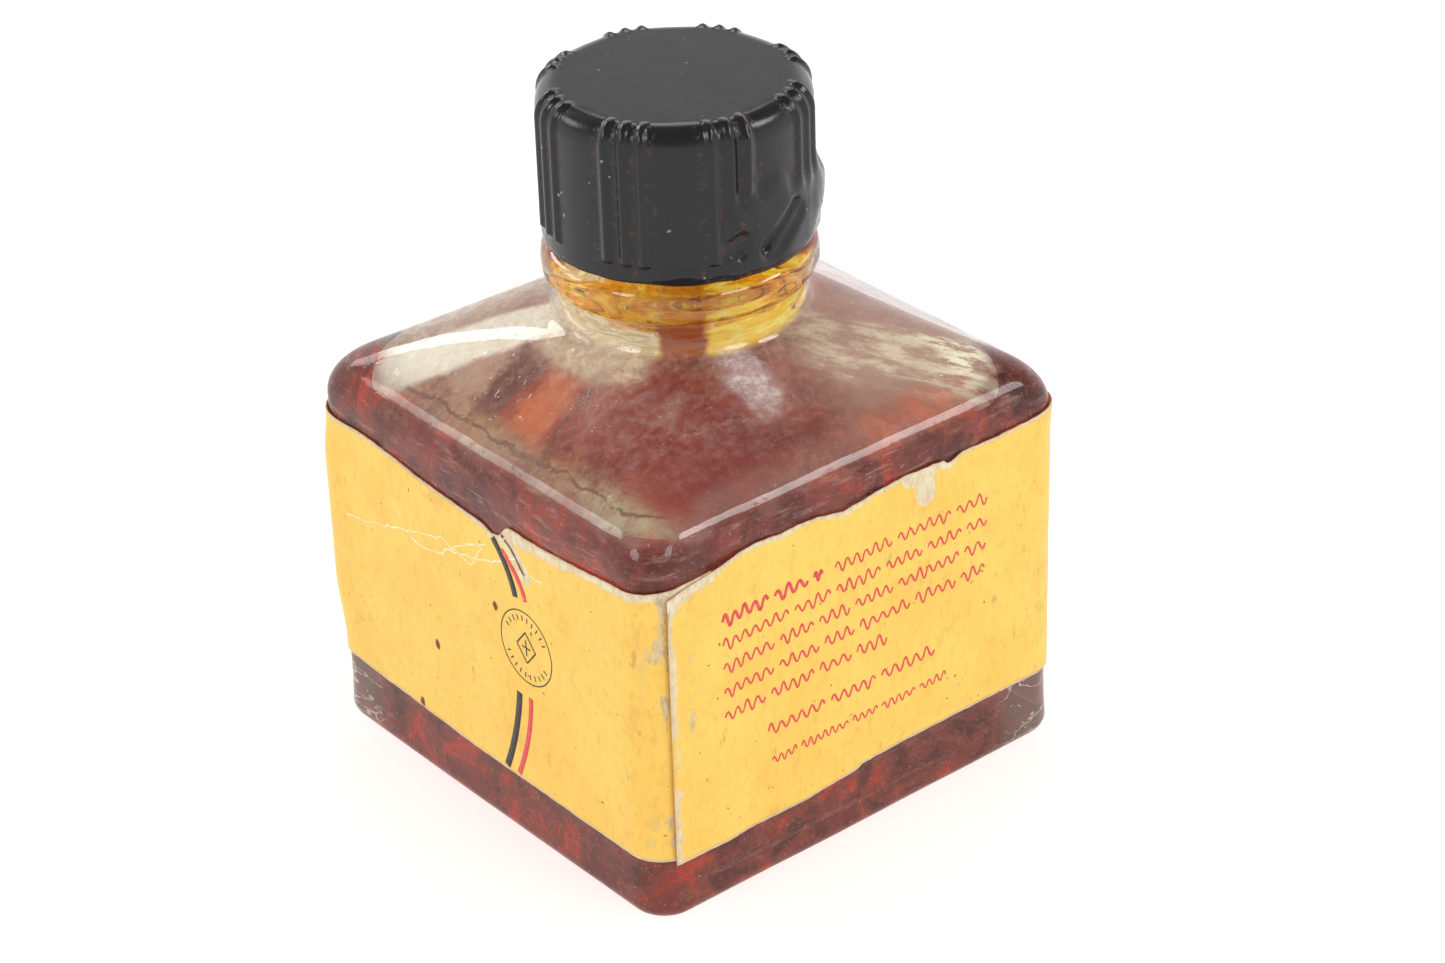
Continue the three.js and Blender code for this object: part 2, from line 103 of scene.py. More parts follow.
class Finish:
    """A material, or the world's light, with the nodes behind it."""

    def __init__(self, name, sockets, owner=None):
        self.material = owner or bpy.data.materials.new(name)
        self.material.use_nodes = True
        self.tree = self.material.node_tree
        kinds = ("BSDF_PRINCIPLED", "BACKGROUND")
        self.surface = next(n for n in self.tree.nodes if n.type in kinds)
        self.feed(self.surface, sockets)

    def feed(self, made, sockets):
        """Gives a node's sockets their links or values, by name or in order."""
        named = sockets.items() if isinstance(sockets, dict) else enumerate(sockets)
        for name, value in named:
            socket = made.inputs[name]
            if isinstance(value, Signal):
                self.tree.links.new(value.socket, socket)
            elif socket.type == "RGBA":
                socket.default_value = (*value, 1.0)[:4]
            else:
                socket.default_value = value

    def node(self, kind, settings, sockets, output=0):
        """Any node: its type, its settings, then what its sockets get."""
        made = self.tree.nodes.new(kind)
        for name, value in settings.items():
            setattr(made, name, value)
        self.feed(made, sockets)
        return Signal(self, made.outputs[output])

    def place(self):
        """Where a point of the piece is, in millimetres."""
        point = self.node("ShaderNodeTexCoord", {}, {}, "Object")
        return self.node("ShaderNodeVectorMath", {"operation": "SCALE"}, {0: point, "Scale": 1000.0})

    def part(self, vector, axis):
        return self.node("ShaderNodeSeparateXYZ", {}, [vector], "XYZ".index(axis))

    def grain(self, place, scale, detail=4.0, roughness=0.55, distortion=0.0):
        """Cloudy noise round 0.5, scale features to the millimetre."""
        wanted = {"Vector": place, "Scale": scale, "Detail": detail,
                  "Roughness": roughness, "Distortion": distortion}
        return self.node("ShaderNodeTexNoise", {}, wanted)

    def stretched(self, place, factors):
        return self.node("ShaderNodeVectorMath", {"operation": "MULTIPLY"}, [place, factors])

    def above(self, value, low, high):
        """0 below low and 1 above high, with a smooth step between."""
        settings = {"interpolation_type": "SMOOTHSTEP", "clamp": True}
        wanted = {"Value": value, "From Min": low, "From Max": high}
        return self.node("ShaderNodeMapRange", settings, wanted)

    def patches(self, low, high, place, *grain):
        """Cloudy noise cut into patches: 0 where it is under low, 1 where it is over high."""
        return self.above(self.grain(place, *grain), low, high)

    def between(self, value, low, high, soft):
        """1 from low to high, falling to 0 over a soft distance outside them."""
        return self.above(value, low - soft, low) * (1 - self.above(value, high, high + soft))

    def mix(self, share, first, second):
        """A colour that goes from first to second."""
        return self.node("ShaderNodeMix", {"data_type": "RGBA"}, {0: share, 6: first, 7: second}, 2)

    def layers(self, tone, *coats):
        """A colour with coats laid over it in turn, each a share and a colour."""
        for share, colour in coats:
            tone = self.mix(share, tone, colour)
        return tone

    def held(self, name):
        """A value stored on the piece's points."""
        return self.node("ShaderNodeAttribute", {"attribute_name": name}, {}, "Fac")

    def bump(self, height, distance, strength=1.0):
        """A normal for relief of that height, distance in millimetres."""
        return self.node("ShaderNodeBump", {}, {
            "Height": height, "Distance": distance * MM, "Strength": strength})

    def cover(self, share, shader):
        """Lays another shader over what the surface shows now."""
        target = self.tree.nodes["Material Output"].inputs["Surface"]
        shown = Signal(self, target.links[0].from_socket)
        mixed = self.node("ShaderNodeMixShader", {}, [share, shown, shader])
        self.tree.links.new(mixed.socket, target)

    def show(self, **sockets):
        """Feeds the surface. Base_Color stands for the socket Base Color, and so on."""
        self.feed(self.surface, {name.replace("_", " "): value for name, value in sockets.items()})


world = bpy.data.worlds.new("studio")
bpy.context.scene.world = world
studio = Finish("studio", {"Strength": 1.0}, world)
skyward = studio.part(studio.node("ShaderNodeTexCoord", {}, {}, "Generated"), "Z")
studio.show(Color=studio.mix(studio.above(skyward, 0.02, 0.7), (1.30, 1.29, 1.28), (0.24, 0.24, 0.245)))

backdrop = Finish("lit_sweep", {"Roughness": 0.85, "Specular IOR Level": 0.0, "Emission Strength": 0.86})
sweep_tone = backdrop.patches(0.3, 0.7, backdrop.place(), 0.02)
sweep_spot = backdrop.stretched(backdrop.place(), (1 / 42, 1 / 42, 0.0))
reach = backdrop.node("ShaderNodeVectorMath", {"operation": "LENGTH"}, [sweep_spot], 1)
# Round the bottle's foot the sweep's glow turns pink: painted light, as if coloured by passing through the
# bottle.
painted_pink_glow = 1 - backdrop.above(reach, 0.55, 1.1)
backdrop.show(Base_Color=backdrop.mix(sweep_tone, (0.32, 0.32, 0.32), (0.35, 0.35, 0.35)),
              Emission_Color=backdrop.mix(painted_pink_glow, (1.0, 1.0, 1.0), (1.0, 0.86, 0.82)))
SWEEP_HALF = 4.0
SWEEP_DROP = 0.00006
square = ((-1, -1), (1, -1), (1, 1), (-1, 1))
sweep_corners = [(x * SWEEP_HALF, y * SWEEP_HALF, -SWEEP_DROP) for x, y in square]
sweep_mesh = bpy.data.meshes.new("sweep")
sweep_mesh.from_pydata(sweep_corners, [], [(0, 1, 2, 3)])
sweep_mesh.materials.append(backdrop.material)
sweep = bpy.data.objects.new("sweep", sweep_mesh)
bpy.context.scene.collection.objects.link(sweep)


def soft_box(name, spot, width, height, radiance):
    """A soft light at spot, in metres, turned to the bottle. radiance 1 is as bright as white paper."""
    light = bpy.data.lights.new(name, "AREA")
    light.shape = "ELLIPSE"
    light.size, light.size_y = width, height
    light.energy = radiance * pi * width * height * pi / 4
    made = bpy.data.objects.new(name, light)
    made.location = spot
    made.rotation_euler = (Vector(spot) - Vector((0, 0, 0.03))).to_track_quat("Z", "Y").to_euler()
    bpy.context.scene.collection.objects.link(made)


soft_box("box_above", (0.30, 0.38, 0.58), 0.36, 0.26, 3.6)
soft_box("box_right", (0.43, -0.36, 0.50), 0.26, 0.17, 11.0)
soft_box("box_behind_left", (-0.38, 0.50, 0.42), 0.20, 0.20, 5.5)
soft_box("box_behind", (-0.02, 0.56, 0.375), 0.25, 0.21, 6.5)
soft_box("box_left", (-0.57, 0.02, 0.50), 0.26, 0.26, 7.5)
soft_box("box_front", (0.13, -0.57, 0.52), 0.26, 0.26, 7.5)

# ---------------------------------------------------------------- glass bottle
# Pressed soda-lime glass, square with sloping shoulders, a round neck, a bead and a screw finish.
# The mould has left the walls a little wavy, and its shoulders are hazy with dust and old cement. The lower
# walls carry painted light, and a pale patch on the front slope is a painted highlight.
WALL_TOP = 31.5
CORNER_R = 2.8
HEEL_R = 1.2
RIM_R = 3.6
SLOPE_ANGLE = radians(31)
NECK_R = 9.3
FILLET_R = 1.8
BEAD_R = 10.5
BEAD_BOTTOM, BEAD_TOP = 40.5, 43.6
FINISH_R = 7.95
WALL = 2.6
FLOOR = 3.2
INNER_CORNER_R, INNER_HEEL_R, INNER_RIM_R = 3.6, 3.0, 2.5
BORE_R = 6.2
PITCH = 3.175
THREAD_HEIGHT = 0.9
THREAD_TURNS = 1.25
BASE_RECESS = 0.5
MOUTH_ROUND, BORE_ROUND = 0.4, 0.5
BORE_FOOT, BORE_FOOT_RISE = 0.9, 1.2
GLASS_TONE = (0.97, 0.985, 0.965)
QUARTER_STEPS = 44

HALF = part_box("glass_bottle")[1].x / MM
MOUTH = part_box("glass_bottle")[1].z / MM
THREAD_TOP = MOUTH - 1.4
SLOPE = tan(SLOPE_ANGLE)
FOLD = pi / 2 - SLOPE_ANGLE


def outline(half, corner, z):
    """A square ring with round corners, from the middle of the +X side. corner = half gives a circle."""
    share = np.arange(QUARTER_STEPS) / QUARTER_STEPS
    straight = max(half - corner, 0.0)
    flat_share = max(0.36 * sqrt(straight / (HALF - CORNER_R)), 1e-6)
    angle = np.clip((share - flat_share) / (1 - 2 * flat_share), 0, 1) * pi / 2
    x = straight * np.minimum((1 - share) / flat_share, 1) + corner * np.cos(angle)
    y = straight * np.minimum(share / flat_share, 1) + corner * np.sin(angle)
    xs = np.concatenate([x, -y, -x, y])
    ys = np.concatenate([y, x, -y, -x])
    return np.stack([xs, ys, np.full(len(xs), float(z))], 1)


def circle(radius, z):
    return outline(radius, radius, z)


def steps(first, last, count):
    return np.linspace(first, last, count + 1)


def lofted(rings, loop=False):
    """Points and faces of rings joined in turn. The ends are closed by fans, or joined with loop."""
    count = len(rings[0])
    points = np.concatenate(rings)
    starts = np.arange(len(rings) if loop else len(rings) - 1)[:, None] * count
    after = (starts + count) % len(points)
    here = np.arange(count)[None, :]
    there = (here + 1) % count
    quads = np.stack([starts + here, starts + there, after + there, after + here], -1)
    faces = quads.reshape(-1, 4).tolist()
    if not loop:
        ends = [rings[0].mean(0), rings[-1].mean(0)]
        last = (len(rings) - 1) * count
        faces += [(len(points), (i + 1) % count, i) for i in range(count)]
        faces += [(len(points) + 1, last + i, last + (i + 1) % count) for i in range(count)]
        points = np.concatenate([points, ends])
    return points, faces


def piece(name, points, faces, finish):
    """A smooth-shaded piece from points in millimetres."""
    mesh = bpy.data.meshes.new(name)
    mesh.from_pydata((np.asarray(points) * MM).tolist(), [], faces)
    mesh.polygons.foreach_set("use_smooth", [True] * len(mesh.polygons))
    mesh.materials.append(finish.material)
    made = bpy.data.objects.new(name, mesh)
    bpy.context.scene.collection.objects.link(made)
    return made


def hold(made, name, values):
    """Stores one value for each point of a piece, for its finish to read."""
    stored = made.data.attributes.new(name, "FLOAT", "POINT")
    stored.data.foreach_set("value", np.asarray(values, dtype=np.float32))


def ragged(points, size, seed=0.0):
    """Smooth noise at each point, from about -1 to 1, with features of that size in millimetres."""
    shift = Vector((seed, seed * 1.7, seed * 2.3))
    return np.array([noise.noise(Vector(p) / size + shift) for p in points])


def helix_ridge(angle, z, top, turns, root, crest):
    """How far a screw thread's ridge stands out at an angle and height, from 0 to 1."""
    passes = np.round((z - top) / PITCH - angle / TURN)
    along = angle + passes * TURN
    off = np.abs(z - top - along / TURN * PITCH)
    side = np.clip((root / 2 - off) / ((root - crest) / 2), 0, 1)
    run_out = np.clip(np.minimum(-along, along + turns * TURN) / (TURN / 8), 0, 1)
    return side**2 * (3 - 2 * side) * run_out**0.6


def shoulder_z(half):
    return WALL_TOP + (HALF - half) * SLOPE


def shoulder_ring(half, z, outer_half, inner_half, corner):
    """The corners grow from the rim up to a full circle at the neck."""
    share = (outer_half - half) / (outer_half - inner_half)
    return outline(half, min(corner + (inner_half - corner) * share**2, half), z)


def bottle_outside():
    rings = [circle(2.0, BASE_RECESS), outline(8.0, 2.0, BASE_RECESS)]
    rings += [outline(half, CORNER_R, z) for half, z in (
        (14.6, BASE_RECESS), (14.8, BASE_RECESS - 0.01), (15.15, 0.03), (15.3, 0), (15.5, 0))]
    rings += [outline(HALF - HEEL_R - 0.15, CORNER_R - 0.6, 0)]
    for a in steps(0, pi / 2, 8):
        inset = HEEL_R * (1 - sin(a))
        rings.append(outline(HALF - inset, CORNER_R - inset / 2, HEEL_R * (1 - cos(a))))
    rim_start = WALL_TOP - RIM_R * tan(FOLD / 2)
    rings += [outline(HALF, CORNER_R, z) for z in steps(HEEL_R, rim_start, 22)[1:-1]]
    for a in steps(0, FOLD, 12):
        rings.append(outline(HALF - RIM_R * (1 - cos(a)), CORNER_R, rim_start + RIM_R * sin(a)))
    rim_end = HALF - RIM_R * (1 - cos(FOLD))
    neck_start = NECK_R + FILLET_R * tan(FOLD / 2) * cos(SLOPE_ANGLE)
    for half in steps(rim_end, neck_start, 26)[1:]:
        rings.append(shoulder_ring(half, shoulder_z(half), rim_end, neck_start, CORNER_R))
    fillet_top = shoulder_z(NECK_R) + FILLET_R * tan(FOLD / 2)
    for a in steps(FOLD, 0, 8)[1:]:
        rings.append(circle(NECK_R + FILLET_R * (1 - cos(a)), fillet_top - FILLET_R * sin(a)))
    rings += [circle(NECK_R, z) for z in steps(fillet_top, BEAD_BOTTOM, 3)[1:]]
    middle, tall = (BEAD_BOTTOM + BEAD_TOP) / 2, (BEAD_TOP - BEAD_BOTTOM) / 2
    for a in steps(-1, 1, 18):
        out = (1 - abs(a) ** 3.2) ** (1 / 2.2)
        foot = NECK_R - 0.5 if a > 0 else NECK_R
        rings.append(circle(foot + (BEAD_R - foot) * out, middle + a * tall))
    rings += [circle(FINISH_R + 0.3, BEAD_TOP + 0.06), circle(FINISH_R, BEAD_TOP + 0.3)]
    around = circle(1, 0)
    angle = np.arctan2(around[:, 1], around[:, 0])
    for z in steps(BEAD_TOP + 0.4, MOUTH - MOUTH_ROUND, 74):
        ring = circle(1, z)
        out = FINISH_R + THREAD_HEIGHT * helix_ridge(angle, z, THREAD_TOP, THREAD_TURNS, 1.9, 0.7)
        rings.append(ring * np.stack([out, out, np.ones(len(out))], 1))
    for a in steps(0, pi / 2, 5)[1:]:
        z = MOUTH - MOUTH_ROUND + MOUTH_ROUND * sin(a)
        rings.append(circle(FINISH_R - MOUTH_ROUND * (1 - cos(a)), z))
    return rings


def cavity(gap, lowest, highest):
    """Rings of the inside from the floor up, shrunk by gap, that lie from lowest to highest."""
    half, corner, heel = HALF - WALL - gap, INNER_CORNER_R - gap, INNER_HEEL_R - gap
    rim, bore, floor = INNER_RIM_R - gap, BORE_R - gap, FLOOR + gap
    drop = (WALL + gap) / cos(SLOPE_ANGLE)

    def lid(r):
        return shoulder_z(r) - drop

    made = [circle(2.0, floor), outline(9.0, 4.0, floor)]
    for a in steps(0, pi / 2, 10):
        inset = heel * (1 - sin(a))
        made.append(outline(half - inset, corner - inset / 2, floor + heel * (1 - cos(a))))
    rim_bottom = lid(half) - rim * tan(FOLD / 2)
    made += [outline(half, corner, z) for z in steps(floor + heel, rim_bottom, 14)[1:-1]]
    for a in steps(0, FOLD, 12):
        made.append(outline(half - rim * (1 - cos(a)), corner, rim_bottom + rim * sin(a)))
    rim_end = half - rim * (1 - cos(FOLD))
    round_at = bore + 2.4
    for r in steps(rim_end, round_at, 20)[1:]:
        made.append(shoulder_ring(r, lid(r), rim_end, round_at, corner))
    for r in steps(round_at, bore + BORE_FOOT, 4)[1:]:
        made.append(circle(r, lid(r)))
    foot_z = lid(bore + BORE_FOOT)
    for a in steps(0, pi / 2, 6)[1:]:
        r = bore + BORE_FOOT * (1 - sin(a))
        made.append(circle(r, foot_z + BORE_FOOT_RISE * (1 - cos(a))))
    made += [circle(bore, z) for z in steps(foot_z + BORE_FOOT_RISE, MOUTH - BORE_ROUND, 24)[1:]]
    for a in steps(0, pi / 2, 5)[1:]:
        r = bore + BORE_ROUND * (1 - cos(a))
        made.append(circle(r, MOUTH - BORE_ROUND + BORE_ROUND * sin(a)))
    return [ring for ring in made if lowest <= ring[0, 2] <= highest]


outside_rings = bottle_outside()
inside_rings = cavity(0, 0, 99)[::-1]
glass_points, glass_faces = lofted(outside_rings + inside_rings)
outside_count = sum(map(len, outside_rings))
is_outside = (np.arange(len(glass_points)) < outside_count).astype(float)
height = glass_points[:, 2]
away = glass_points * (1, 1, 0)
away /= np.maximum(np.linalg.norm(away, axis=1), 1e-6)[:, None]
wave = 0.05 * ragged(glass_points, 9.0) + 0.02 * ragged(glass_points, 3.0, 5.0)
folds = ragged(glass_points * (1, 1, 2.4), 3.4, 9.0) + 0.3 * ragged(glass_points, 1.5, 9.0)
lumps = 0.22 * folds * np.exp(-((height - 41.6) / 1.9) ** 2)
flare = 0.22 * np.clip(1 - height / 5, 0, 1) ** 2
plain = np.clip((43.8 - height) / 2, 0, 1) * is_outside
glass_points = glass_points + away * ((wave + lumps + flare) * plain)[:, None]

clear = Finish("clear_glass", {
    "Base Color": GLASS_TONE, "Roughness": 0.015, "IOR": 1.5, "Transmission Weight": 1.0})
spot = clear.place()
high = clear.part(spot, "Z")
outside = clear.held("outside")
swirl = clear.grain(spot, 0.12, 2.0)
seeds = clear.patches(0.64, 0.75, spot, 1.4, 2.0)

below_bead = 1 - clear.above(high, 37.8, 39.2)
shoulder_zone = clear.above(high, 31.6, 36.5) * below_bead
cloud = clear.patches(0.42, 0.72, spot, 0.16, 5.0, 0.6)
wipes = clear.patches(0.46, 0.72, clear.stretched(spot, (0.3, 1.0, 1.0)), 0.9, 7.0, 0.7, 0.4)
dust = clear.patches(0.655, 0.70, spot, 3.4, 3.0, 0.65) * below_bead
fine_dust = clear.patches(0.42, 0.68, spot, 1.2, 8.0, 0.75)
# A soft pale patch on the front slope below the neck is a painted highlight, laid over the shoulder's dust.
glint_x = clear.part(spot, "X") * 1.1 + 3.6
glint_y = (clear.part(spot, "Y") + 11.9) * 0.62
painted_highlight_spot = (1 - clear.above(glint_x * glint_x + glint_y * glint_y, 0.2, 7.0)) * shoulder_zone
spread = clear.part(spot, "X") - clear.part(spot, "Y")
far_corner = clear.above(spread * spread, 950, 1300)
# Below the shoulders the grime on the outer walls is dirt and painted light: its red-brown tones and brighter
# red blotches stand in for the lit cement behind the glass.
low_zone = 1 - clear.above(high + cloud - far_corner * 3.5, 31.4, 34.0)
haze_and_painted_light = outside * (
    shoulder_zone * (cloud * 0.16 + wipes * 0.15 + fine_dust * 0.20 + 0.04)
    + painted_highlight_spot * (wipes * 0.16 + fine_dust * 0.16 + 0.16) + dust * 0.24 + low_zone * 0.62)

on_bead = clear.between(high, 40.4, 43.8, 0.5) * outside
run_grain = clear.grain(clear.stretched(spot, (1.0, 1.0, 1.8)), 0.34, 4.0, 0.6, 1.6)
run_tint = clear.mix(clear.above(run_grain, 0.36, 0.52), (0.80, 0.44, 0.10), (1.0, 0.93, 0.62))
# A dark line at the bead's lower edge: partly painted shade under the bead, partly a brown crust of cement.
under_bead_shade_and_crust = clear.between(high + run_grain * 3.0, 42.05, 42.3, 0.16) * 0.8 * outside
stain = clear.layers(GLASS_TONE, (on_bead, run_tint), (under_bead_shade_and_crust, (0.34, 0.12, 0.025)))
clear.show(Base_Color=stain, Normal=clear.bump(swirl + seeds * 0.08, 0.5, 0.35))

painted_cement_grain = clear.grain(spot, 0.22, 7.0, 0.68, 0.8)
gritty = clear.patches(0.52, 0.70, spot, 2.9, 5.0, 0.75)
wisps = clear.patches(0.50, 0.68, clear.stretched(spot, (0.35, 0.35, 2.2)), 0.7, 7.0, 0.7, 0.3)
# Low on the +X-Y and -X+Y corners the pale veined colour is painted light: the backdrop as seen through thick
# clear glass.
painted_clear_corners = clear.above(spread * spread, 1080, 1380) * (1 - clear.above(high, 6.5, 9.0))
veins = clear.grain(clear.stretched(spot, (1.0, 1.0, 2.4)), 0.17, 4.0, 0.55, 0.8)
painted_corner_veins = clear.mix(clear.between(veins, 0.505, 0.515, 0.015), (0.20, 0.155, 0.14), (0.75, 0.68, 0.58))
stains_and_painted_cement_light = clear.layers(
    (0.085, 0.022, 0.018),
    (clear.above(painted_cement_grain, 0.38, 0.54), (0.23, 0.052, 0.036)),
    (clear.above(painted_cement_grain, 0.53, 0.62) * 0.85, (0.52, 0.045, 0.022)),
    (gritty * 0.42, (0.44, 0.27, 0.20)),
    (dust * 0.35, (0.60, 0.46, 0.37)),
    (wisps * 0.5 * clear.above(high, 24.0, 28.0), (0.52, 0.33, 0.26)),
    (painted_clear_corners * 0.8, painted_corner_veins))
dust_and_painted_highlight = clear.layers((0.58, 0.46, 0.38), (painted_highlight_spot, (0.88, 0.84, 0.81)), (dust * 0.6, (0.80, 0.70, 0.58)))
grime_and_painted_light = clear.node("ShaderNodeBsdfPrincipled", {}, {
    "Base Color": clear.mix(low_zone, dust_and_painted_highlight, stains_and_painted_cement_light),
    "Roughness": 0.62 - low_zone * 0.32,
    "Specular IOR Level": 0.2})
clear.cover(haze_and_painted_light, grime_and_painted_light)
let_through = clear.node("ShaderNodeBsdfTransparent", {}, {"Color": (0.86, 0.87, 0.85)})
clear.cover(clear.node("ShaderNodeLightPath", {}, {}, "Is Shadow Ray"), let_through)

glass = piece("bottle_glass", glass_points, glass_faces, clear)
hold(glass, "outside", is_outside)
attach(glass, "bottle")
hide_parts("glass_bottle")

# ---------------------------------------------------------------- dark cement
# The thickened red-brown liquid. It wets the glass all round, climbs it a little at its surface,
# and has dried against the wall in darker and brighter patches.
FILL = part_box("cement_fill")[1].z / MM
WETTED = -0.05
CLIMB = 0.45

wet_rings = cavity(WETTED, 0, FILL)
top_half = wet_rings[-1][0, 0]
for share in steps(0, 1, 10)[1:]:
    half_left = max((top_half - 0.3) * (1 - share**1.5) + 0.2 * share, 0.2)
    sunk = FILL - CLIMB * min(1.0, (top_half - half_left) / 2.5) ** 0.5
    wet_rings.append(outline(half_left, min(INNER_CORNER_R, half_left), sunk))
cement_points, cement_faces = lofted(wet_rings)
dried = Finish("dried_cement", {"Roughness": 0.3, "IOR": 1.5, "Specular IOR Level": 0.3})
spot = dried.place()
blotches = dried.grain(spot, 0.16, 7.0, 0.68, 0.9)
bright = dried.above(blotches, 0.52, 0.68)
smear = dried.patches(0.5, 0.72, dried.stretched(spot, (0.5, 0.5, 1.4)), 0.28, 5.0)
veil = dried.patches(0.48, 0.62, spot, 0.10, 3.0)
dark_tone = dried.layers(
    (0.30, 0.056, 0.040),
    (smear, (0.15, 0.028, 0.022)),
    (veil * 0.4, (0.30, 0.10, 0.08)),
    (bright * 0.7, (0.56, 0.055, 0.025)))
dried.show(Base_Color=dark_tone, Normal=dried.bump(blotches, 0.4, 0.4))
cement = piece("dark_cement", cement_points, cement_faces, dried)
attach(cement, "bottle")
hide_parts("cement_fill")

# ---------------------------------------------------------------- dried film
# Splashes of the same cement, dried as a skin on the inside of the shoulders and neck: dark red
# where it is thick, hazy or bare where it has flaked, and golden amber in the neck. Its pale far slopes, two
# bright bands on the hips, the lemon yellow and the palest glints in the neck are painted light.
FILM_SKIN = 0.12
FILM_BITE = -0.03
film_ends = (FILL - 0.6, MOUTH - BORE_ROUND)
film_up = cavity(FILM_BITE, *film_ends)
film_down = cavity(FILM_SKIN, *film_ends)[::-1]
film_points, film_faces = lofted(film_up + film_down, loop=True)
skin = Finish("dried_film", {"Roughness": 0.35, "IOR": 1.45, "Specular IOR Level": 0.25})
spot = skin.place()
x, y, z = (skin.part(spot, axis) for axis in "XYZ")
radius = (x * x + y * y) ** 0.5
bearing = skin.node("ShaderNodeMath", {"operation": "ARCTAN2"}, [y, x]) * (180 / pi)
drift = (skin.grain(spot, 0.30, 6.0, 0.62) - 0.5) * 4.5
fine = skin.grain(spot, 1.3, 5.0, 0.65)
cloudy = skin.grain(spot, 0.17, 5.0, 0.6)


def pane(x_low, x_high, y_low, y_high, soft):
    """A patch of the film between four bounds in millimetres, with drifting edges."""
    return skin.between(x + drift, x_low, x_high, soft) * skin.between(y + drift, y_low, y_high, soft)


# The far slopes are painted lighter: painted light from behind, showing through the film.
painted_backlit_slopes = skin.above(y + x * 0.35 + drift, 4.0, 12.0)
left_haze = skin.above(drift - x, 6.0, 11.0) * skin.between(y + drift, -1.5, 12.0, 3.0)
right_haze = skin.between(y + drift, -14.5, -6.0, 3.0) * skin.above(x + drift, 0.0, 6.0)

left_edge = 1 - skin.above(x + drift * 0.3, -16.6, -14.6)
near_corner = 1 - skin.above(y + drift, -12.5, -7.0)
olive = skin.layers(
    (0.34, 0.12, 0.045),
    (skin.above(fine, 0.3, 0.7), (0.50, 0.30, 0.12)),
    (near_corner * skin.above(fine, 0.25, 0.55), (0.52, 0.47, 0.26)))
scraps = skin.patches(0.40, 0.48, spot, 0.35, 5.0, 0.6, 1.0)
wander = (skin.grain(spot, 0.30, 4.0, 0.5, 0.8) - 0.5) * 1.4
crust_line = skin.between(z + wander, 30.74, 30.84, 0.08) * (1 - skin.above(x, -15.6, -14.6)) * scraps
front_edge = (1 - skin.above(y + drift * 0.4, -16.6, -14.6)) * skin.above(x + drift, -5.0, 3.0)

behind_neck = skin.above(bearing, 118.0, 138.0) + (1 - skin.above(bearing, -152.0, -140.0))
cream_foot = skin.between(radius + drift * 0.5, 7.6, 9.6, 1.8) * behind_neck
# A bright cream band along the far-left hip is a painted highlight, lying under the lamp's real one.
painted_hip_highlight = skin.between(x + y + drift * 0.4, -4.0, 0.6, 1.2) * skin.above(y - x, 10.0, 15.0)
across_hip, along_hip = (x * 0.846 - y * 0.533) * 0.22, x * 0.533 + y * 0.846
down_hip = skin.node("ShaderNodeCombineXYZ", {}, [across_hip, along_hip, z * 0.5])
swept = skin.grain(down_hip, 1.0, 7.0, 0.68, 0.25)
right_streaks = skin.between(y + x * 0.62 + drift * 0.4, -8.2, -3.6, 2.4) * skin.above(x, 0.5, 6.0)
# Near the right corner the streaks turn bright yellow-cream: a painted highlight on them.
painted_corner_highlight = right_streaks * skin.above(x, 12.0, 15.5) * skin.above(swept, 0.46, 0.58)

in_neck = 1 - skin.above(radius, 6.9, 8.2)
twist = skin.stretched(spot, (0.75, 0.75, 2.6))
flecks = skin.grain(twist, 0.26, 4.0, 0.55, 1.4)
amber_grain_and_glints = skin.grain(twist, 0.62, 4.0, 0.6, 1.2)
# The lemon yellow low in the neck is painted light: amber lit from behind.
painted_backlit_yellow = skin.between(z + drift * 0.25, 34.0, 38.6, 0.5) * skin.between(bearing, -110.0, -48.0, 5.0)
yellow = skin.mix(skin.above(amber_grain_and_glints, 0.45, 0.6), (1.0, 0.62, 0.02), (1.0, 0.86, 0.16))
at_back = skin.above(bearing, 110.0, 130.0) + (1 - skin.above(bearing, -146.0, -138.0))
milky = (1 - skin.above(z + drift * 0.3, 38.4, 39.4)) * at_back
pale_skin = skin.mix(skin.above(amber_grain_and_glints, 0.40, 0.62), (0.74, 0.55, 0.30), (1.0, 0.92, 0.70))
stem_band = skin.between(bearing + drift * 4, -139.0, -118.0, 5.0)
stem_share = stem_band * (0.90 - skin.above(z + drift * 0.3, 38.9, 40.5) * 0.72)
amber = skin.layers(
    (0.22, 0.055, 0.006),
    (skin.above(flecks, 0.34, 0.46), (0.86, 0.38, 0.018)),
    (skin.above(flecks, 0.48, 0.60), (1.0, 0.74, 0.08)),
    # The palest flecks are painted glints of light inside the amber.
    (skin.above(amber_grain_and_glints, 0.56, 0.66) * 0.8, (1.0, 0.90, 0.50)),
    (skin.between(amber_grain_and_glints, 0.30, 0.38, 0.03) * 0.6, (0.28, 0.07, 0.010)),
    (painted_backlit_yellow, yellow),
    (milky * 0.95, pale_skin),
    (stem_share, (0.34, 0.040, 0.010)))
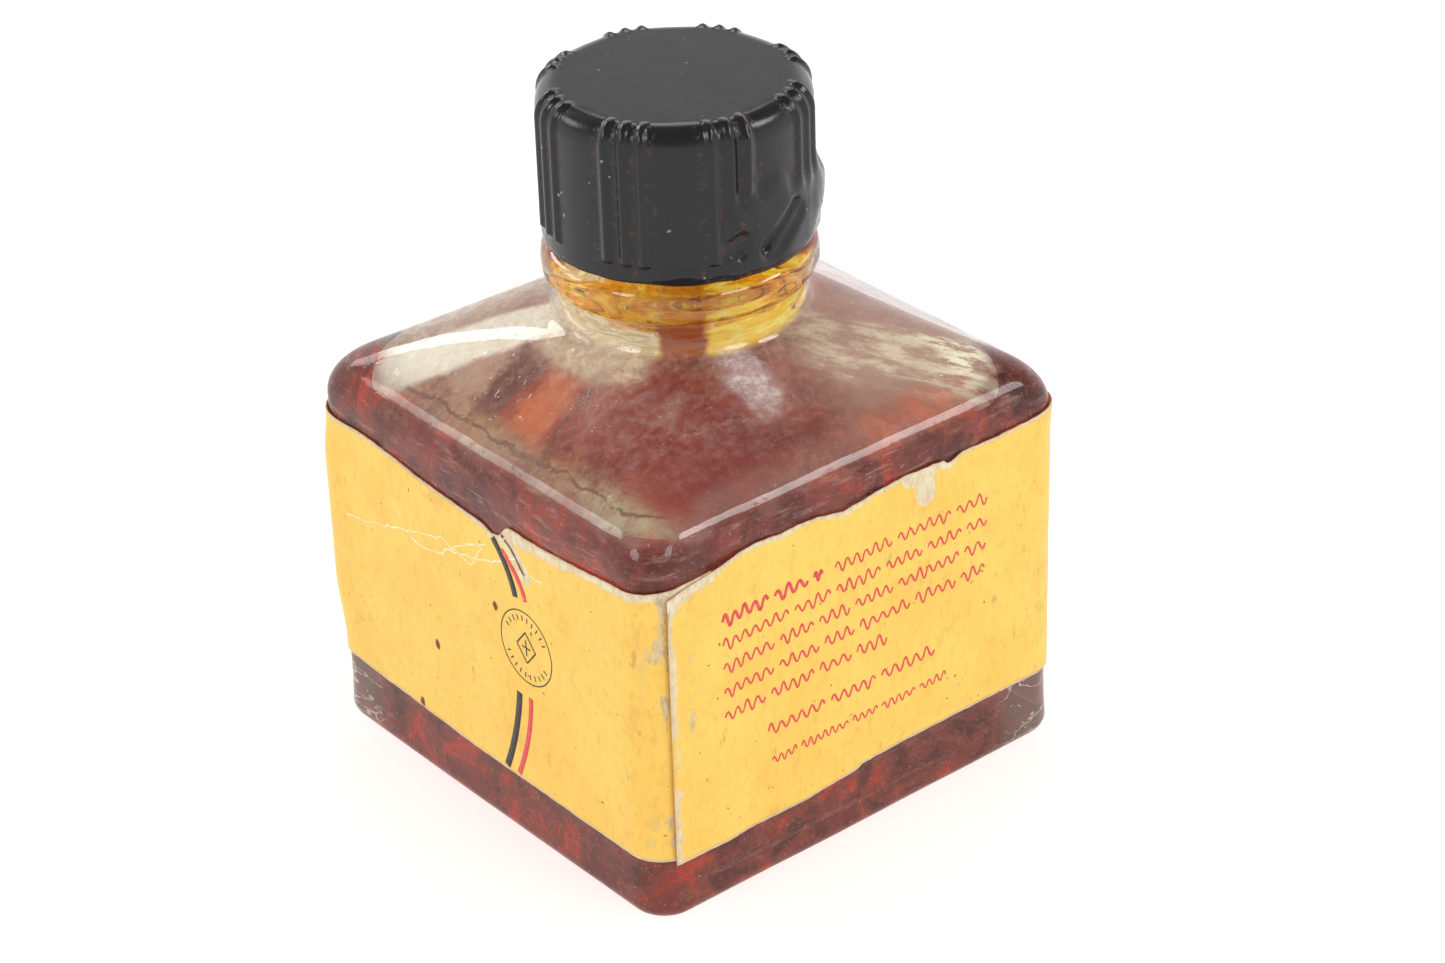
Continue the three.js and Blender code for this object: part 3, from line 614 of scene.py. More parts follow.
film_tone = skin.layers(
    (0.17, 0.022, 0.014),
    (skin.above(cloudy, 0.35, 0.65), (0.32, 0.055, 0.032)),
    (skin.above(fine, 0.45, 0.75) * 0.5, (0.40, 0.15, 0.10)),
    (painted_backlit_slopes * (0.5 + skin.above(fine, 0.4, 0.6) * 0.4), (0.66, 0.54, 0.42)),
    (left_haze * (skin.above(cloudy + fine * 0.4, 0.48, 0.80) * 0.65 + 0.2), (0.50, 0.33, 0.23)),
    (right_haze * 0.7, (0.42, 0.24, 0.18)),
    (pane(-12.5, -7.0, -16.5, -8.0, 2.5) * 0.8, (0.22, 0.012, 0.006)),
    (pane(-16.0, -10.9, 1.9, 4.8, 1.3) * 0.85, (0.13, 0.020, 0.018)),
    (pane(-15.6, -10.6, -2.9, 1.5, 1.0) * 0.9, (0.36, 0.060, 0.030)),
    (pane(-15.2, -11.4, -1.7, 0.3, 1.0) * (fine * 0.5 + 0.45), (0.66, 0.175, 0.055)),
    (pane(-15.0, -10.8, -3.7, -3.2, 0.35) * skin.above(fine, 0.4, 0.55) * 0.7, (0.13, 0.020, 0.015)),
    (left_edge * (skin.above(cloudy + fine * 0.3, 0.5, 0.8) * 0.5 + 0.3), olive),
    (crust_line * 0.75, (0.11, 0.028, 0.016)),
    (front_edge * (skin.above(cloudy + fine * 0.5, 0.62, 0.85) * 0.7 + 0.25), (0.60, 0.115, 0.030)),
    (cream_foot * (0.35 + skin.above(fine, 0.35, 0.65) * 0.5), (0.86, 0.74, 0.50)),
    (painted_hip_highlight * (0.6 + cloudy * 0.5), (1.0, 0.95, 0.80)),
    (right_streaks * (skin.above(swept, 0.40, 0.62) * 0.75 + 0.15), (0.74, 0.63, 0.46)),
    (painted_corner_highlight, (1.0, 0.94, 0.70)),
    (in_neck, amber))
skin.show(Base_Color=film_tone, Normal=skin.bump(fine, 0.3, 0.5))
film = piece("dried_film", film_points, film_faces, skin)
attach(film, "bottle")

# ---------------------------------------------------------------- paper label
# One strip of coated yellow paper glued round all four walls. Its outer end laps over its inner
# end just past the label corner. Its edges are torn, and the coating has cracked and worn to cream.
PAPER = 0.12
GLUE = 0.08
LAP_LIFT = PAPER + GLUE
LABEL_CORNER = CORNER_R
STRAIGHT = 2 * (HALF - LABEL_CORNER)
SIDE = STRAIGHT + LABEL_CORNER * pi / 2
OUTER_END, INNER_END = -1.0, 4 * SIDE + 3.0
LABEL_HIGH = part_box("label_wrap")[1].z / MM


def on_front(x_mm):
    return x_mm + STRAIGHT / 2


def on_left(y_mm):
    return 3 * SIDE + STRAIGHT / 2 - y_mm


def front(*corners):
    """Corners given as x and z on the front wall, as path lengths and z."""
    return [(on_front(x_mm), z_mm) for x_mm, z_mm in corners]


def left(*corners):
    """Corners given as y and z on the left wall, as path lengths and z."""
    return [(on_left(y_mm), z_mm) for y_mm, z_mm in corners]


def wrap(s, z, off):
    """The point at path length s round the bottle, height z, that stands off the glass by off."""
    s = np.mod(s, 4 * SIDE)
    wall = np.floor(s / SIDE)
    along = s - wall * SIDE
    turned = np.clip(along - STRAIGHT, 0, None) / LABEL_CORNER
    reach = LABEL_CORNER + off
    px = -STRAIGHT / 2 + np.minimum(along, STRAIGHT) + reach * np.sin(turned)
    py = -STRAIGHT / 2 - reach * np.cos(turned)
    c, n = np.cos(wall * TURN / 4), np.sin(wall * TURN / 4)
    return np.stack([px * c - py * n, px * n + py * c, z], -1)


TOP_EDGE = [
    (OUTER_END, 28.2),
    *front((-17.1, 28.6), (-14.5, 29.1), (-10.6, 29.6), (-4.7, 29.3), (-2.0, 28.8), (0.6, 29.2),
           (4.1, 29.5), (7.9, 29.2), (8.3, 28.8), (9.6, 29.3), (13.1, 29.2), (18.7, 29.6)),
    (1.4 * SIDE, 29.3), (1.5 * SIDE, 28.5), (1.56 * SIDE, 29.2),
    (2.2 * SIDE, 29.4), (2.5 * SIDE, 28.9), (2.6 * SIDE, 29.3),
    *left((18.7, 28.1), (12.1, 28.0), (4.9, 27.1), (-1.2, 26.8), (-2.4, 26.4), (-3.4, 26.7),
          (-4.4, 27.8), (-10.2, 27.9), (-16.4, 28.5)),
    (INNER_END, 28.9)]
BOTTOM_EDGE = [
    (OUTER_END, 5.3),
    *front((-6.6, 5.2), (-1.0, 5.6), (-0.6, 5.9), (6.2, 6.1), (19.2, 6.1)),
    (1.5 * SIDE, 5.6), (2.0 * SIDE, 5.9), (2.4 * SIDE, 5.3), (2.8 * SIDE, 5.8),
    *left((18.1, 6.3), (13.9, 6.1), (1.6, 5.6)),
    (INNER_END, 5.5)]
FRAY = [
    (OUTER_END, 2.1),
    *front((-17.0, 1.4), (-13.5, 0.35), (-8.0, 0.55), (-5.0, 0.25), (-1.5, 0.7),
           (1.0, 0.35), (4.0, 0.4), (6.5, 1.1), (8.4, 0.8), (9.5, 0.25)),
    (SIDE, 0.3), (2 * SIDE, 0.5),
    *left((15.0, 0.35), (3.0, 0.2), (-2.0, 0.5), (-5.0, 1.35), (-9.0, 1.2), (-13.0, 0.8), (-18.0, 0.9)),
    (INNER_END, 1.0)]
TEAR = left((-3.6, 27.0), (-4.8, 26.2), (-6.4, 24.4))
BARE = front((4.6, 29.2), (6.0, 28.6), (6.1, 27.1))
WORN_CORNER = [(OUTER_END + 1.4, 28.6), (OUTER_END + 3.6, 28.9)]


def read_off(where, corners):
    """The height at each place of a line through (place, height) corners."""
    return np.interp(where, *np.transpose(corners))


def edge_line(s, corners, tooth, seed):
    """The height of a torn edge at s."""
    where = np.stack([s, np.full_like(s, seed), np.zeros_like(s)], 1)
    torn = ragged(where, 2.2) + 0.6 * ragged(where, 0.7) + 0.3 * ragged(where, 0.3)
    return read_off(s, corners) + tooth * torn


def smooth_step(value, low, high):
    t = np.clip((value - low) / (high - low), 0, 1)
    return t * t * (3 - 2 * t)


def paper_off(s, z):
    """How far the paper's back stands off the glass: the lap, loose places and slight waves."""
    lap = LAP_LIFT * (1 - smooth_step(s, 4.0, 6.2))
    loose = 0.42 * np.exp(-((s - on_left(19.6)) / 2.4) ** 2)
    loose *= smooth_step(z, 7, 13) * (1 - smooth_step(z, 24, 29))
    spots = np.stack([s, z, np.zeros_like(s)], -1).reshape(-1, 3)
    waves = 0.035 * (1 + ragged(spots, 4.5, 3.0).reshape(np.shape(s)))
    curl = 0.16 * smooth_step(-s, 0.2, 1.1) + 0.1 * smooth_step(z, 27.3, 29.3)
    return GLUE * 0.4 + lap + loose + waves + curl


COLUMNS, ROWS = 430, 62
path = steps(OUTER_END, INNER_END, COLUMNS)
top = np.minimum(edge_line(path, TOP_EDGE, 0.10, 1.0), LABEL_HIGH + 0.6)
bottom = edge_line(path, BOTTOM_EDGE, 0.06, 7.0)
rise = steps(0, 1, ROWS)
grid_z = bottom[:, None] + (top - bottom)[:, None] * rise[None, :]
grid_s = np.repeat(path[:, None], ROWS + 1, 1)
back_off = paper_off(grid_s, grid_z)
front_face = wrap(grid_s, grid_z, back_off + PAPER)
back_face = wrap(grid_s, grid_z, back_off)
label_rings = [np.concatenate([front_face[i], back_face[i][::-1]]) for i in range(COLUMNS + 1)]
label_points, label_faces = lofted(label_rings)
label_faces = [face[::-1] for face in label_faces]


def to_line(s, z, line):
    """The distance from each point to a line of (s, z) corners."""
    nearest = np.full(np.shape(s), 99.0)
    for (s0, z0), (s1, z1) in zip(line, line[1:]):
        length = (s1 - s0) ** 2 + (z1 - z0) ** 2
        t = np.clip(((s - s0) * (s1 - s0) + (z - z0) * (z1 - z0)) / length, 0, 1)
        nearest = np.minimum(nearest, np.hypot(s - s0 - t * (s1 - s0), z - z0 - t * (z1 - z0)))
    return nearest


FAR = 9.0


def by_point(grid):
    """A grid's values in the order of the label's points: each row's face and back, then the two ends."""
    rows = [np.concatenate([row, row[::-1]]) for row in grid]
    return np.concatenate([*rows, [FAR, FAR]])


frayed = read_off(path, FRAY)
from_edge = np.minimum((top[:, None] - grid_z) / frayed[:, None], (grid_z - bottom[:, None]) / 0.22)

paper = Finish("yellow_paper", {"IOR": 1.45})
spot = paper.place()
fibre = paper.grain(paper.stretched(spot, (1.0, 1.0, 0.45)), 2.2, 6.0, 0.65)
mottle = paper.grain(spot, 0.22, 4.0)
gnaw = (paper.grain(spot, 1.1, 5.0, 0.65) - 0.5) * 1.6
smudge = paper.patches(0.56, 0.70, spot, 0.35, 6.0, 0.7, 0.6)
scuff = paper.patches(0.62, 0.70, paper.stretched(spot, (1.0, 1.0, 0.5)), 0.9, 6.0, 0.7)
speck = paper.patches(0.725, 0.75, spot, 1.7, 2.0)
edge, lap, tear = (paper.held(name) for name in ("edge", "lap", "tear"))
worn = 1 - paper.above(edge + gnaw * 0.8, 0.55, 0.95)
patchy = paper.grain(paper.stretched(spot, (1.0, 1.0, 0.4)), 0.45, 6.0, 0.72, 0.5)
lap_wear = (1 - paper.above(lap + gnaw * 0.9, 0.25, 0.7)) * paper.above(patchy, 0.40, 0.50)
lap_streak = paper.between(lap + gnaw * 0.8, 1.5, 1.9, 0.2) * paper.above(patchy, 0.53, 0.58)
fold = paper.held("under") * paper.above(patchy + gnaw * 0.12, 0.54, 0.59)
bare = 1 - paper.above(paper.held("bare") + gnaw * 0.5, 0.90, 1.05)
slit = 1 - paper.above(tear + gnaw * 0.15, 0.10, 0.20)
tear_halo = 1 - paper.above(tear + gnaw * 0.4, 0.55, 0.8)
stain = 1 - paper.above(paper.held("stain") + gnaw * 0.2, 0.22, 0.42)
cream = paper.mix(paper.above(fibre, 0.35, 0.65), (0.72, 0.58, 0.34), (0.86, 0.76, 0.55))
grey = paper.mix(paper.above(fibre, 0.4, 0.6), (0.44, 0.36, 0.23), (0.70, 0.60, 0.42))
paper_tone = paper.layers(
    (1.0, 0.66, 0.125),
    (paper.above(mottle, 0.35, 0.7), (0.98, 0.60, 0.10)),
    (paper.above(fibre, 0.45, 0.8) * 0.45, (0.66, 0.35, 0.07)),
    (smudge * 0.28, (0.58, 0.30, 0.08)),
    (scuff * 0.45, (0.42, 0.24, 0.09)),
    (worn, cream),
    (lap_wear * 0.9, cream),
    (lap_streak * 0.7, grey),
    (fold * 0.75, grey),
    (bare, cream),
    (tear_halo, cream),
    (slit, (0.16, 0.05, 0.03)),
    (speck * 0.8, (0.12, 0.06, 0.03)),
    (stain, (0.11, 0.02, 0.015)),
    # The paper's back is painted red-brown: painted light, standing in for light that reaches it through the
    # red cement.
    (paper.held("back"), (0.62, 0.20, 0.11)))
relief = fibre * 0.5 - worn * 0.8 - lap_wear * 0.5 - bare * 0.7 - slit * 2.0
paper.show(Base_Color=paper_tone, Roughness=0.45 + worn * 0.35 + bare * 0.3,
           Normal=paper.bump(relief, 0.06, 0.8))
paper.cover(0.12, paper.node("ShaderNodeBsdfTranslucent", {}, {"Color": (0.85, 0.40, 0.14)}))
label = piece("paper_label", label_points, label_faces, paper)
from_corner = to_line(grid_s, grid_z, WORN_CORNER) + 0.2
SPLASHES = left((5.7, 12.9), (-2.3, 20.1), (8.4, 6.4))
for name, grid in (
        ("edge", from_edge),
        ("lap", grid_s - OUTER_END),
        ("under", smooth_step(grid_s, 4 * SIDE - 3.4, 4 * SIDE - 1.6)),
        ("bare", np.minimum(to_line(grid_s, grid_z, BARE), from_corner)),
        ("tear", to_line(grid_s, grid_z, TEAR)),
        ("stain", np.min([np.hypot(grid_s - a, (grid_z - b) * 0.7) for a, b in SPLASHES], 0))):
    hold(label, name, by_point(grid))
faces_in = np.repeat([0, 1], ROWS + 1)
hold(label, "back", np.concatenate([np.tile(faces_in, COLUMNS + 1), [0, 0]]))
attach(label, "bottle")
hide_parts("label_wrap")

# ---------------------------------------------------------------- label print
# Flat ink on the paper: rows of small red print, shown as plain waves, and on the left wall a black
# and a red stripe with a thin round seal between them. Cracks there have bared the paper under its coat.
INK = 0.016
BEAT_STEPS = 6


def measured(line):
    """A line's path lengths and heights, and how far along it each corner is."""
    s, z = np.array(line, float).T
    return s, z, np.concatenate([[0], np.cumsum(np.hypot(np.diff(s), np.diff(z)))])


def ribbon(line, width, step=0.22):
    """Points and faces of a thin band of ink along a line of (s, z) corners on the label."""
    s, z, total = measured(line)
    at = np.linspace(0, total[-1], max(2, int(total[-1] / step) + 2))
    s, z = np.interp(at, total, s), np.interp(at, total, z)
    ds, dz = np.gradient(s), np.gradient(z)
    size = np.maximum(np.hypot(ds, dz), 1e-9)
    side_s, side_z = -dz / size * width / 2, ds / size * width / 2
    rings = []
    for i in range(len(at)):
        pair_s = np.array([s[i] + side_s[i], s[i] - side_s[i]])
        pair_z = np.array([z[i] + side_z[i], z[i] - side_z[i]])
        off = paper_off(pair_s, pair_z) + PAPER
        rings.append(np.concatenate([wrap(pair_s, pair_z, off + INK), wrap(pair_s, pair_z, off - INK)[::-1]]))
    return lofted(rings)


def gathered(parts):
    """Several sets of points and faces as one."""
    points, faces, start = [], [], 0
    for some_points, some_faces in parts:
        points.append(some_points)
        faces += [tuple(start + i for i in face) for face in some_faces]
        start += len(some_points)
    return np.concatenate(points), faces


def curved(corners):
    """A smooth line through a few corners."""
    s, z = np.array(corners, float).T
    fit_s, fit_z = np.polyfit(z, s, len(s) - 1), steps(z[0], z[-1], 14)
    return list(zip(np.polyval(fit_s, fit_z), fit_z))


def greeked(start, end, base, tall, weight, chance):
    """A row of print shown as plain waves, one for each word, from start to end."""
    words = []
    at = start
    while at < end - tall * 0.5:
        word_end = min(at + tall * chance.uniform(1.8, 4.6), end)
        beats = max(3, round((word_end - at) / (tall * 0.34)))
        swing = [tall * chance.choice((0.24, 0.28, 0.28, 0.40)) for _ in range(beats)] + [0]
        wave = []
        for i in range(beats * BEAT_STEPS + 1):
            up = swing[i // BEAT_STEPS] * sin(pi * i / BEAT_STEPS)
            wave.append((at + (word_end - at) * i / (beats * BEAT_STEPS), base + tall * 0.34 + up))
        words.append(ribbon(wave, weight, 0.1))
        at = word_end + tall * 0.45
    return words


def cracked(line, chance, wide):
    """Short strips of bared paper, end to end, along a line of (s, z) corners."""
    *corners, total = measured(line)
    shaken = []
    for at in np.arange(0, total[-1], 0.45):
        shaken.append([np.interp(at, total, axis) + chance.uniform(-0.14, 0.14) for axis in corners])
    return [ribbon(shaken[i:i + 3], chance.uniform(0.05, wide), 0.15) for i in range(0, len(shaken) - 1, 2)]


CRACKS = (
    (0.195, (16.9, 19.7), (14.0, 20.3), (9.0, 21.7), (6.5, 21.2), (4.2, 21.9), (1.0, 23.9), (-2.0, 25.2)),
    (0.12, (9.0, 21.7), (4.0, 23.2), (0.5, 22.3), (-1.4, 24.9)),
    (0.15, (10.4, 23.8), (9.3, 22.4)),
    (0.18, (3.8, 22.4), (-1.0, 23.5), (-5.2, 25.4)),
    (0.225, (-6.8, 24.9), (-8.6, 24.7)))
tearer = random.Random(5)
crack_parts = []
for wide, *corners in CRACKS:
    crack_parts += cracked(left(*corners), tearer, wide)
printer = random.Random(11)
red_parts = []
for start, end, base, tall, weight in (
        (-13.9, -4.2, 23.9, 1.45, 0.27), (-2.9, 12.3, 23.9, 1.4, 0.16), (-13.9, 12.3, 21.9, 1.4, 0.17),
        (-13.9, 12.2, 19.9, 1.4, 0.17), (-13.9, 12.1, 17.8, 1.4, 0.17), (-13.9, 2.8, 15.7, 1.4, 0.17),
        (-9.7, 7.3, 12.5, 1.5, 0.18), (-9.4, 8.1, 9.9, 1.05, 0.14)):
    red_parts += greeked(on_front(start), on_front(end), base, tall, weight, printer)
RED_STRIPE = (left((-3.6, 25.6), (-5.3, 24.0), (-6.2, 22.2)), left((-6.2, 13.7), (-5.5, 9.6), (-4.1, 5.9)))
BLACK_STRIPE = (left((-2.6, 26.2), (-3.9, 24.6), (-5.0, 22.1)), left((-4.8, 13.6), (-3.9, 9.3), (-2.6, 5.9)))
red_parts += [ribbon(curved(line), 0.5) for line in RED_STRIPE]
black_parts = [ribbon(curved(line), 0.66) for line in BLACK_STRIPE]
SEAL_S, SEAL_Z, SEAL_R = on_left(-6.0), 18.1, 3.1


def seal_point(angle, wide, tall):
    return SEAL_S + wide * cos(angle), SEAL_Z + tall * sin(angle)


black_parts.append(ribbon([seal_point(a, SEAL_R, SEAL_R) for a in steps(0, TURN, 48)], 0.10))
for a in steps(0, TURN, 26)[:-1]:
    if abs(sin(a)) > 0.35:
        black_parts.append(ribbon([seal_point(a, r, r) for r in (2.28, 2.72)], 0.11))
black_parts.append(ribbon([seal_point(a, 1.15, 1.35) for a in steps(0, TURN, 4)], 0.13, 0.1))
black_parts.append(ribbon([(SEAL_S, SEAL_Z - 0.7), (SEAL_S, SEAL_Z + 0.7)], 0.13))
black_parts.append(ribbon([(SEAL_S - 0.5, SEAL_Z), (SEAL_S + 0.5, SEAL_Z)], 0.13))

for name, parts, full, faded in (("red_print", red_parts, (0.72, 0.060, 0.075), (0.80, 0.22, 0.10)),
                                 ("black_print", black_parts, (0.035, 0.030, 0.028), (0.12, 0.075, 0.045)),
                                 ("bared_cracks", crack_parts, (0.95, 0.83, 0.50), (0.95, 0.66, 0.20))):
    dye = Finish(name, {"Roughness": 0.5, "IOR": 1.45})
    wear = dye.patches(0.52, 0.72, dye.place(), 2.4, 5.0, 0.7)
    dye.show(Base_Color=dye.mix(wear, full, faded))
    ink = piece(name, *gathered(parts), dye)
    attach(ink, "bottle")

# ---------------------------------------------------------------- screw cap
# Moulded black phenolic with eight groups of three ribs that run up over its rounded edge. Cement
# has run down one side and set there, smoothing the ribs over, with a few pits and gouges in it.
PANEL_R = 10.3
LIP_R = 0.3
SIDE_FROM = 9.6
RIB_HEIGHT = 0.3
RIB_GROUPS = 8
GROUP_PITCH = 360 / RIB_GROUPS
RIB_PITCH = 8.1
RIB_HALF_WIDTH = 3.0
RIB_PHASE = -16.1
RIB_FOOT = 1.4
CAP_FLAT_R = 8.7
CAP_EDGE_RISE = 1.9
CAP_TOP_THICKNESS = 1.65
BOSS_R, BOSS_LENGTH, SOCKET_R = 2.6, 3.2, 1.75
CAP_BORE_R = FINISH_R + THREAD_HEIGHT + 0.3
CAP_THREAD_TOP = THREAD_TOP - 1.45
CAP_STEPS = 432
CAP_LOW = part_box("cap_shell")[0].z / MM
CAP_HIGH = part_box("cap_shell")[1].z / MM
CAP_CEILING = CAP_HIGH - CAP_TOP_THICKNESS

cap_angle = np.arange(CAP_STEPS) / CAP_STEPS * TURN


def rib_share(angle):
    """How far the ribs stand out at an angle, from 0 to 1."""
    off = (np.degrees(angle) - RIB_PHASE + GROUP_PITCH / 2) % GROUP_PITCH - GROUP_PITCH / 2
    nearest = np.min([np.abs(off - shift * RIB_PITCH) for shift in (-1, 0, 1)], 0)
    return (0.5 + 0.5 * np.cos(np.clip(nearest / RIB_HALF_WIDTH, 0, 1) * pi)) ** 0.7


def cap_ring(r, z, ribs=0.0, rib_lift=0.0):
    out = r + ribs * RIB_HEIGHT * rib_share(cap_angle)
    up = z + rib_lift * RIB_HEIGHT * rib_share(cap_angle)
    return np.stack([out * np.cos(cap_angle), out * np.sin(cap_angle), up * np.ones(CAP_STEPS)], 1)


def facet_r(angle):
    """The radius of the flat top, which runs straight from one group of ribs to the next."""
    off = (np.degrees(angle) - RIB_PHASE) % GROUP_PITCH - GROUP_PITCH / 2
    return np.minimum(CAP_FLAT_R * 0.955 / np.cos(np.radians(off)), CAP_FLAT_R)


cap_rings = [cap_ring(PANEL_R - LIP_R * (1 - sin(a)), CAP_LOW + LIP_R * (1 - cos(a)))
             for a in steps(0, pi / 2, 4)]
for z_up in steps(CAP_LOW + LIP_R, CAP_LOW + RIB_FOOT, 5)[1:]:
    cap_rings.append(cap_ring(PANEL_R, z_up))
for share in steps(0, 1, 4)[1:]:
    z_up = CAP_LOW + RIB_FOOT + share * RIB_HEIGHT
    cap_rings.append(cap_ring(PANEL_R, z_up, sin(share * pi / 2)))
edge_low = CAP_HIGH - CAP_EDGE_RISE
for z_up in steps(CAP_LOW + RIB_FOOT + RIB_HEIGHT, edge_low, 36)[1:-1]:
    cap_rings.append(cap_ring(PANEL_R, z_up, 1.0))
top_r = facet_r(cap_angle)
for a in steps(0, pi / 2, 18):
    r = top_r + (PANEL_R - top_r) * cos(a)
    fading = min(1.0, (pi / 2 - a) / 0.35)
    z_up = CAP_HIGH - CAP_EDGE_RISE * (1 - sin(a))
    cap_rings.append(cap_ring(r, z_up, cos(a) * fading, sin(a) * fading * 0.8))
for share in (0.97, 0.92, 0.8, 0.65, 0.5, 0.3, 0.15, 0.05):
    cap_rings.append(cap_ring(top_r * share, CAP_HIGH))
cap_outside_count = len(cap_rings) * CAP_STEPS
socket_top, boss_end = CAP_CEILING - 0.15, CAP_CEILING - BOSS_LENGTH
inside = [cap_ring(0.4, socket_top), cap_ring(SOCKET_R, socket_top)]
inside += [cap_ring(SOCKET_R, z_down) for z_down in steps(socket_top, boss_end, 4)[1:]]
inside += [cap_ring(BOSS_R - 0.15, boss_end), cap_ring(BOSS_R, boss_end + 0.15)]
inside += [cap_ring(BOSS_R, CAP_CEILING - 0.25)]
inside += [cap_ring(r, CAP_CEILING) for r in (BOSS_R + 0.25, 6.0, CAP_BORE_R - 0.2)]
inside += [cap_ring(CAP_BORE_R, CAP_CEILING - 0.2)]
for z_down in steps(CAP_CEILING - 0.4, CAP_LOW + 1.0, 46):
    r = CAP_BORE_R - THREAD_HEIGHT * helix_ridge(cap_angle, z_down, CAP_THREAD_TOP, 1.4, 1.5, 0.5)
    inside.append(cap_ring(r, z_down))
inside += [cap_ring(CAP_BORE_R + 0.3, CAP_LOW + 0.7), cap_ring(CAP_BORE_R + 0.3, CAP_LOW + 0.12),
           cap_ring(CAP_BORE_R + 0.42, CAP_LOW)]
cap_points, cap_faces = lofted(cap_rings[::-1] + inside[::-1])
cap_faces = [face[::-1] for face in cap_faces]

cap_out = np.arange(len(cap_points)) < cap_outside_count
cap_bearing = np.degrees(np.arctan2(cap_points[:, 1], cap_points[:, 0]))
cap_z = cap_points[:, 2]
cap_r = np.hypot(cap_points[:, 0], cap_points[:, 1])
run_edge = ragged(np.stack([cap_bearing / 8, np.zeros_like(cap_z), np.zeros_like(cap_z)], 1), 1.0, 4.0)
RUN_TOP = ((-118, 44.5), (-108, 49.5), (-98, 50.8), (-70, 50.2), (-45, 49.8), (-20, 48.0), (5, 44.0))
run_top = read_off(cap_bearing, RUN_TOP)
runs = 1 - smooth_step(cap_z, run_top - 1.2 + run_edge, run_top + 1.2 + run_edge)
runs *= smooth_step(cap_bearing, -116, -104) * (1 - smooth_step(cap_bearing, -10, 5))
runs *= cap_out * (cap_r > SIDE_FROM)
bulge = 0.45 * np.exp(-((cap_bearing + 42) / 22) ** 2 - ((cap_z - 47.4) / 2.0) ** 2)
soft_lumps = 0.13 * ragged(cap_points, 2.2, 6.0)
smoothed = PANEL_R + 0.28 + soft_lumps + bulge - 0.25 * (1 - smooth_step(cap_z, CAP_LOW, CAP_LOW + 0.6))


def from_cap_line(*ends):
    """The distance from each point to a line on the cap's side, its ends in degrees and millimetres."""
    line = [(radians(degrees) * PANEL_R, z_mm) for degrees, z_mm in ends]
    return to_line(np.radians(cap_bearing) * PANEL_R, cap_z, line)


GOUGES = (
    ((-88, 45.6), (-74, 47.7), 1.35, 0.30), ((-91, 45.9), (-74, 48.4), 0.7, 0.30),
    ((-108, 46.6), (-103, 47.0), 1.0, 0.34), ((-104, 45.9), (-101.5, 46.3), 0.6, 0.28))
drip = from_cap_line((-99.5, 55.0), (-99.8, 50.9))
hollow = sum(depth * (1 - smooth_step(from_cap_line(start, end), width * 0.35, width))
             for start, end, width, depth in GOUGES)
target = smoothed - hollow * (1 + 0.5 * ragged(cap_points, 1.3, 8.0))
new_r = np.where(cap_out, cap_r + (target - cap_r) * runs, cap_r)
new_r += np.where(cap_out & (cap_r > SIDE_FROM), 0.24 * (1 - smooth_step(drip, 0.1, 0.45)), 0.0)
set_rim = smooth_step(cap_bearing, -145, -135) * (1 - smooth_step(cap_bearing, -112, -104))
rim_swell = 0.22 * np.exp(-((cap_z - 44.9 - 0.35 * ragged(cap_points * (1, 1, 0), 2.0, 3.0)) / 0.45) ** 2)
new_r += np.where(cap_out & (cap_r > SIDE_FROM), rim_swell * set_rim, 0.0)
scale_r = np.where(cap_r > 1e-6, new_r / np.maximum(cap_r, 1e-6), 1.0)
chipped = 0.16 * ragged(cap_points * (1, 1, 0), 1.9, 2.0) * (1 - smooth_step(cap_z, CAP_LOW, CAP_LOW + 1.0))
cap_points = cap_points * np.stack([scale_r, scale_r, np.ones_like(scale_r)], 1)
cap_points[:, 2] += np.maximum(chipped * cap_out, -0.12)
group_off = (cap_bearing - RIB_PHASE + GROUP_PITCH / 2) % GROUP_PITCH - GROUP_PITCH / 2
beside_rib = np.min([np.abs(group_off - shift) for shift in (-12.2, -4.05, 4.05, 12.2)], 0) < 2.0
groove = np.where(cap_out & (cap_r > 9.0), (1 - rib_share(np.radians(cap_bearing))) * beside_rib, 0.0)

black = Finish("black_phenolic", {"IOR": 1.42})
spot = black.place()
rub = black.grain(spot, 0.9, 5.0, 0.6)
scratch = black.grain(black.stretched(spot, (0.25, 1.0, 1.0)), 3.0, 3.0, 0.6)
grit = black.patches(0.52, 0.66, spot, 1.9, 4.0, 0.7)
rust = black.held("groove") * grit
film_brown = black.patches(0.58, 0.75, spot, 0.45, 5.0, 0.65) * 0.35
pale = black.patches(0.775, 0.79, spot, 1.5, 1.0)
cap_tone = black.layers(
    (0.011, 0.011, 0.012),
    (film_brown, (0.030, 0.014, 0.012)),
    (rust * 0.8, (0.085, 0.035, 0.018)),
    (pale * 0.7, (0.32, 0.28, 0.22)))
black.show(Base_Color=cap_tone, Roughness=0.13 + rub * 0.16 + rust * 0.4,
           Normal=black.bump(rub * 0.6 + scratch * 0.15 + rust * 0.5, 0.05, 0.5))
cap = piece("screw_cap", cap_points, cap_faces, black)
hold(cap, "groove", groove)
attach(cap, "cap")
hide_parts("cap_shell")

# ---------------------------------------------------------------- cap liner
# A disc of pressed pulp board held behind the cap's thread, faced with dull foil where it meets
# the glass mouth. Both keep their exact sizes.


def dress(node_name, finish):
    """Gives a CAD piece that is shown as it is its finish."""
    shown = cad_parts[node_name]
    shown.data.materials.clear()
    shown.data.materials.append(finish.material)


